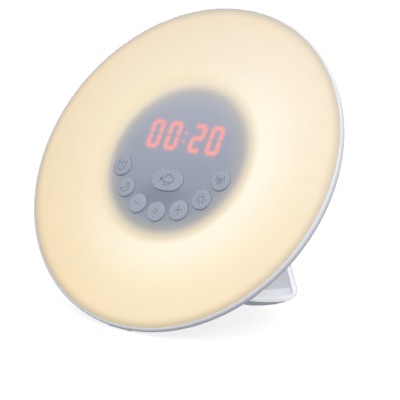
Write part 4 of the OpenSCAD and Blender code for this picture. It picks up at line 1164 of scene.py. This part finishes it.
class ClockShell(bpy.types.Operator):
    """White back shell with its rim, hub, socket recess and sound holes"""
    bl_idname = "clock.shell"
    bl_label = "Back shell"

    def execute(self, context):
        shell = node_copy("back_shell", "white_back_shell", 28)
        finish_piece(shell, white_shell(), "white_shell", "case", "back_shell")
        return {"FINISHED"}


class ClockDoor(bpy.types.Operator):
    """Battery door in the back"""
    bl_idname = "clock.door"
    bl_label = "Battery door"

    def execute(self, context):
        door = node_copy("battery_door", "round_battery_door", 30)
        finish_piece(door, white_shell(), "white_shell", "case", "battery_door")
        return {"FINISHED"}


class ClockScrews(bpy.types.Operator):
    """Case screws in the back, and the screws of the lamp board"""
    bl_idname = "clock.screws"
    bl_label = "Screws"

    def execute(self, context):
        s = sizes()
        points, faces = screw_shape(6, mm(s.screw_head), 1.6, 1.0)
        head_down = ([(x, -y, -z) for x, y, z in points], faces)
        case = around_ring("case_screw_ring", head_down, 4, mm(s.screw_ring), 45, bright_steel(),
                           face_matrix() @ Matrix.Translation((0, 0, SHELL_SCREW_N)))
        finish_piece(case, bright_steel(), "bright_steel", "case", "case_screws")
        board_ring_r = 55
        board = around_ring("lamp_board_screw_ring", screw_shape(1.6, 2, 1.4), 3, board_ring_r, 60,
                            bright_steel(),
                            face_matrix() @ Matrix.Translation((0, 0, LAMP_BOARD_N)))
        finish_piece(board, bright_steel(), "bright_steel", "case", "led_board_screws")
        return {"FINISHED"}


def lamp_shape():
    """One lamp: a white cup with a bevelled top and a sunken chip, 3.5 by 2.8 mm."""
    levels = ((0, 1.75, 1.4), (1.0, 1.75, 1.4), (1.2, 1.6, 1.25), (1.2, 1.3, 0.98),
              (0.85, 1.1, 0.8))
    return loft([[(-x, -y, z), (x, -y, z), (x, y, z), (-x, y, z)] for z, x, y in levels])


class ClockLamps(bpy.types.Operator):
    """Ring of lamps behind the cover"""
    bl_idname = "clock.lamps"
    bl_label = "Lamps"

    def execute(self, context):
        s = sizes()
        ring = around_ring("lamp_ring", lamp_shape(), s.lamp_count, mm(s.lamp_ring),
                           180 / s.lamp_count, lamp_finish(),
                           face_matrix() @ Matrix.Translation((0, 0, LAMP_BOARD_N)))
        finish_piece(ring, lamp_finish(), "lamp", "case", "leds")
        return {"FINISHED"}


# ---- stand and feet

# The stand's outline, in millimetres and degrees
FOOT_FLAT = 22          # half length of the foot's straight middle
FOOT_ARCH = 120         # radius of the arched ends of the foot
TAPER = 8               # how far the sides lean in towards the hinge
HOLLOW_TOP = -5         # upper end of the hollow, below the hinge

# Heights of the stand's back and front, and the hollow's wall between them: (inset from the inner
# edge of the side, inset from the inner edge of the foot bar, height)
STAND_BACK, STAND_FRONT = -3.5, 1.5
HOLLOW_WALL = ((-0.25, -0.3, 1.5), (-0.07, -0.08, 1.4), (0, 0.1, 1.1), (0, 0.75, 0.5),
               (0, 1.6, -0.3), (0.02, 2.5, -1.1), (0.2, 3.0, -1.38), (0.6, 3.7, -1.5))

# The stand's hinge: a barrel, a heel that stops it, and cuts as (inner x, outer x, lowest y)
BARREL_R, BARREL_HALF = 3.5, 44.8
HEEL_HALF, HEEL_THICK = 24.7, 1.5
LUG_CUT, END_CUT = (27.7, 36.8, -4.8), (44.8, 80, -4.0)
PIN_R, PIN_HOLE = 1.5, (19.7, 43.8)
PAST = 20               # how far the cuts run past the stand

STAND_COLLECTION = "stand_pieces"
FOOT_SINK = 0.12        # how much lower the rim's foot lies than its rise, so that it stands flat


def stand_pieces():
    """The collection of the stand's pieces, which have a fill lamp of their own under the body."""
    kept = bpy.data.collections
    return kept.get(STAND_COLLECTION) or kept.new(STAND_COLLECTION)


def stand_outline(half_w, foot, corner, arch, top):
    """Outline of the stand seen from its hollow side: a foot with a straight middle and arched
    ends, round corners and tapered sides."""
    big = foot + arch
    cx = half_w - corner
    cy = big - sqrt((arch - corner) ** 2 - (cx - FOOT_FLAT) ** 2)
    turn = degrees(atan2(cy - big, cx - FOOT_FLAT))
    half = arc((FOOT_FLAT, big), arch, -90, turn, 8) + arc((cx, cy), corner, turn, TAPER, 12)[1:]
    side = half[-1]
    half.append((side[0] - (top - side[1]) * tan(radians(TAPER)), top))
    return half + [(-x, y) for x, y in half[::-1]]


def stand_shape(s):
    """The stand's tray: round back edges, a soft lip and a hollow with a sloping foot."""
    half_w, foot, corner = mm(s.stand_width) / 2, -mm(s.stand_length), mm(s.stand_corner)
    wall, bar, lip, back = mm(s.stand_wall), mm(s.stand_bar), mm(s.stand_lip), mm(s.stand_round)

    def ring(side, lift, z, top=0, turn=corner):
        return [(x, y, z) for x, y in
                stand_outline(half_w - side, foot + lift, turn - side, FOOT_ARCH - lift, top)]

    rings = []
    for t in range(0, 91, 15):
        inset = back * (1 - sin(radians(t)))
        rings.append(ring(inset, inset, STAND_BACK + back * (1 - cos(radians(t)))))
    for inset, below in ((0, lip), (lip * 0.29, lip * 0.29), (lip, 0)):
        rings.append(ring(inset, inset, STAND_FRONT - below))
    for side, lift, z in HOLLOW_WALL:
        rings.append(ring(wall + side, bar + lift, z, HOLLOW_TOP - side / 2,
                          mm(s.hollow_corner) + wall + side))
    return loft(rings)


def cut_across(stand, side, cut):
    """Cuts room for a lug of the body, or the barrel's end, out of the stand's upper edge."""
    low, high = sorted((side * cut[0], side * cut[1]))
    combine(stand, block((low, cut[2], -PAST), (high, PAST, PAST)), "DIFFERENCE")


class ClockStand(bpy.types.Operator):
    """Folding stand: a shallow tray with a soft lip, its hinge barrel and its stop"""
    bl_idname = "clock.stand"
    bl_label = "Stand"

    def execute(self, context):
        s = sizes()
        stand = add_object("white_stand", make_mesh("white_stand", stand_shape(s)))
        combine(stand, bar_along_x(BARREL_R, -BARREL_HALF, BARREL_HALF), "UNION")
        combine(stand, block((-HEEL_HALF, 0, -HEEL_THICK),
                             (HEEL_HALF, mm(s.heel_length), HEEL_THICK)), "UNION")
        for side in (-1, 1):
            cut_across(stand, side, LUG_CUT)
            low, high = sorted((side * PIN_HOLE[0], side * PIN_HOLE[1]))
            combine(stand, bar_along_x(PIN_R, low, high), "DIFFERENCE")
            cut_across(stand, side, END_CUT)
        stand.data.transform(stand_matrix())
        smooth(stand.data, 38)
        finish_piece(stand, stand_plastic(), "white_shell", "stand", "stand")
        stand_pieces().objects.link(stand)
        return {"FINISHED"}


class ClockFeet(bpy.types.Operator):
    """Rubber feet of the stand and of the rim"""
    bl_idname = "clock.feet"
    bl_label = "Feet"

    def execute(self, context):
        s = sizes()
        stand_feet = node_copy("stand_feet", "rubber_stand_feet", 30)
        finish_piece(stand_feet, rubber(), "rubber_grey", "stand", "stand_feet")
        stand_pieces().objects.link(stand_feet)
        corner = [v.co * 1000 for v in NODES["rim_foot"].data.vertices]
        half_w, top = max(p.x for p in corner), max(p.z for p in corner)
        front, back = min(p.y for p in corner), max(p.y for p in corner)
        r, rise = mm(s.rim_round), mm(s.foot_rise)
        under, steps = [], 8
        for k in range(-steps, steps + 1):
            y = (back - front) / 2 * k / steps
            lift = rise + r - sqrt(r * r - y * y) - FOOT_SINK
            under.append(((back + front) / 2 + y, max(0, lift)))
        outline = under + [(back, top), (front, top)]
        shape = loft([[(x, y, z) for y, z in outline] for x in (-half_w, half_w)])
        rim_foot = add_object("rubber_rim_foot", make_mesh("rubber_rim_foot", shape, MILLIMETRE))
        smooth(rim_foot.data, 30)
        finish_piece(rim_foot, slot_finish("silicone"), "silicone", "case", "rim_foot")
        return {"FINISHED"}


class ClockInside(bpy.types.Operator):
    """Finishes of every piece of the frame that keeps its own shape"""
    bl_idname = "clock.inside"
    bl_label = "Carried-over pieces"

    def execute(self, context):
        for name, node in NODES.items():
            if node.hide_render:
                continue
            finish = slot_finish(SLOTS[name])
            for place in node.material_slots:
                place.link = "OBJECT"
                place.material = finish
        return {"FINISHED"}


# ---- stage

# Disk lamps: name, place, point that it aims at, width in metres and power in watts. lamp_stand
# lights the stand alone.
STAND_LAMP = "lamp_stand"
LAMPS = (
    ("lamp_right", (1.1, -1.0, 1.5), (0, 0, 0.07), 0.9, 16.0),
    ("lamp_front", (0.9, -1.4, 0.26), (0, 0, 0.05), 0.3, 3.0),
    (STAND_LAMP, (0.9, -1.4, 0.26), (0, 0, 0.03), 0.3, 19.5),
    ("lamp_behind", (-1.0, 1.2, 0.5), (0, 0, 0.07), 0.8, 12.0),
    ("lamp_left", (-1.4, -1.0, 1.1), (0, 0, 0.07), 1.2, 2.5),
    ("lamp_back", (0.3, 1.4, 1.4), (0, 0, 0.07), 1.2, 5.0),
)
EYE, EYE_AIM, LENS = (0.3389, -0.4649, 0.2004), (0.0127, 0.0011, 0.0594), 99
FLOOR_HALF = 6          # half width of the floor, in metres
WHITE = (1.0, 1.0, 1.0, 1.0)
SKY_TONE = (0.95, 0.97, 1.0, 1.0)
SKY_HEIGHTS, SKY_STRENGTH = (-0.05, 0.75), (0.1, 0.9)       # soft light grows with height
FLOOR_GREY = (0.28, 0.28, 0.28, 1.0)    # what a shadow takes away from the white floor
FLOOR_REACH, FLOOR_GLOW = (0.2, 0.7), (0.8, 1.0)            # the white grows outwards


def seen_as(w, kind, lighting, seen):
    """Ends a tree with one shader for lighting, and another that camera, glossy and transmitted
    rays see instead."""
    path = w.node("ShaderNodeLightPath").outputs
    either = w.math("MAXIMUM", path["Is Camera Ray"], path["Is Glossy Ray"])
    direct = w.math("MAXIMUM", either, path["Is Transmission Ray"])
    w.end(kind, w.node("ShaderNodeMixShader", i0=direct, i1=lighting.outputs[0],
                       i2=seen.outputs[0]))


def floor_finish():
    """Pale floor that looks white and keeps the clock's shadow."""
    material = bpy.data.materials.new("pale_floor")
    w = emptied(material)
    where = object_coordinates(w)
    specks = w.spread(w.noise(where, 900.0), 0.3, 0.7, 0.0, 0.03)
    tone = w.mix(specks, rgba(colours().floor_pale), (0.7, 0.7, 0.7, 1.0))
    plain = w.node("ShaderNodeBsdfPrincipled", Base_Color=tone, Roughness=0.7)
    grey = w.node("ShaderNodeBsdfDiffuse", Color=FLOOR_GREY)
    strength = w.spread(w.vector("LENGTH", where), *FLOOR_REACH, *FLOOR_GLOW)
    glow = w.node("ShaderNodeEmission", Color=WHITE, Strength=strength)
    white = w.node("ShaderNodeAddShader", i0=grey.outputs[0], i1=glow.outputs[0])
    seen_as(w, "ShaderNodeOutputMaterial", plain, white)
    return material


def white_surroundings():
    """A world that is seen as white and gives soft light, stronger from above."""
    world = bpy.data.worlds.new("white_surroundings")
    w = emptied(world)
    direction = w.node("ShaderNodeTexCoord").outputs["Generated"]
    height = w.node("ShaderNodeSeparateXYZ", Vector=direction).outputs[2]
    soft = w.node("ShaderNodeBackground", Color=SKY_TONE,
                  Strength=w.spread(height, *SKY_HEIGHTS, *SKY_STRENGTH))
    white = w.node("ShaderNodeBackground", Color=WHITE, Strength=1.0)
    seen_as(w, "ShaderNodeOutputWorld", soft, white)
    return world


def aimed(name, data, place, aim):
    """A lamp or camera at a place, turned towards a point."""
    thing = add_object(name, data)
    thing.location = place
    thing.rotation_euler = (Vector(aim) - Vector(place)).to_track_quat("-Z", "Y").to_euler()
    return thing


class ClockStage(bpy.types.Operator):
    """Pale floor, soft lamps, white surroundings and the camera"""
    bl_idname = "clock.stage"
    bl_label = "Stage"

    def execute(self, context):
        scene = context.scene
        scene.view_settings.view_transform = "Standard"
        far = FLOOR_HALF
        corners = [(-far, -far, 0), (far, -far, 0), (far, far, 0), (-far, far, 0)]
        floor = add_object("pale_floor", make_mesh("pale_floor", (corners, [[0, 1, 2, 3]])))
        floor.data.materials.append(floor_finish())
        scene.world = white_surroundings()
        for name, place, aim, width, power in LAMPS:
            light = bpy.data.lights.new(name, "AREA")
            light.shape = "DISK"
            light.size = width
            light.energy = power
            lamp = aimed(name, light, place, aim)
            if name == STAND_LAMP:
                lamp.light_linking.receiver_collection = stand_pieces()
        camera = bpy.data.cameras.new("camera")
        camera.lens = LENS
        camera.sensor_width = 36
        camera.dof.use_dof = False
        scene.camera = aimed("camera", camera, EYE, EYE_AIM)
        return {"FINISHED"}


# ---- panel and run

STEPS = (ClockStage, ClockCover, ClockKeys, ClockSigns, ClockShell, ClockDoor, ClockScrews,
         ClockLamps, ClockStand, ClockFeet, ClockInside)


class ClockPanel(bpy.types.Panel):
    """Lists the steps that dress the clock, its sizes and its colours"""
    bl_idname = "VIEW3D_PT_clock"
    bl_label = "Sunrise alarm clock"
    bl_space_type = "VIEW_3D"
    bl_region_type = "UI"
    bl_category = "Clock"

    def draw(self, context):
        column = self.layout.column()
        for step in STEPS:
            column.operator(step.bl_idname)
        for group in (context.scene.clock_sizes, context.scene.clock_colours):
            box = self.layout.box()
            for name in group.bl_rna.properties.keys():
                if name not in ("rna_type", "name"):
                    box.prop(group, name)


CLASSES = (ClockSizes, ClockColours) + STEPS + (ClockPanel,)


def register():
    for kind in CLASSES:
        bpy.utils.register_class(kind)
    bpy.types.Scene.clock_sizes = bpy.props.PointerProperty(type=ClockSizes)
    bpy.types.Scene.clock_colours = bpy.props.PointerProperty(type=ClockColours)


def unregister():
    del bpy.types.Scene.clock_sizes
    del bpy.types.Scene.clock_colours
    for kind in reversed(CLASSES):
        bpy.utils.unregister_class(kind)


def main():
    register()
    bpy.ops.clock.stage()
    bpy.ops.clock.cover()
    bpy.ops.clock.keys()
    bpy.ops.clock.signs()
    bpy.ops.clock.shell()
    bpy.ops.clock.door()
    bpy.ops.clock.screws()
    bpy.ops.clock.lamps()
    bpy.ops.clock.stand()
    bpy.ops.clock.feet()
    bpy.ops.clock.inside()


if __name__ == "__main__":
    main()
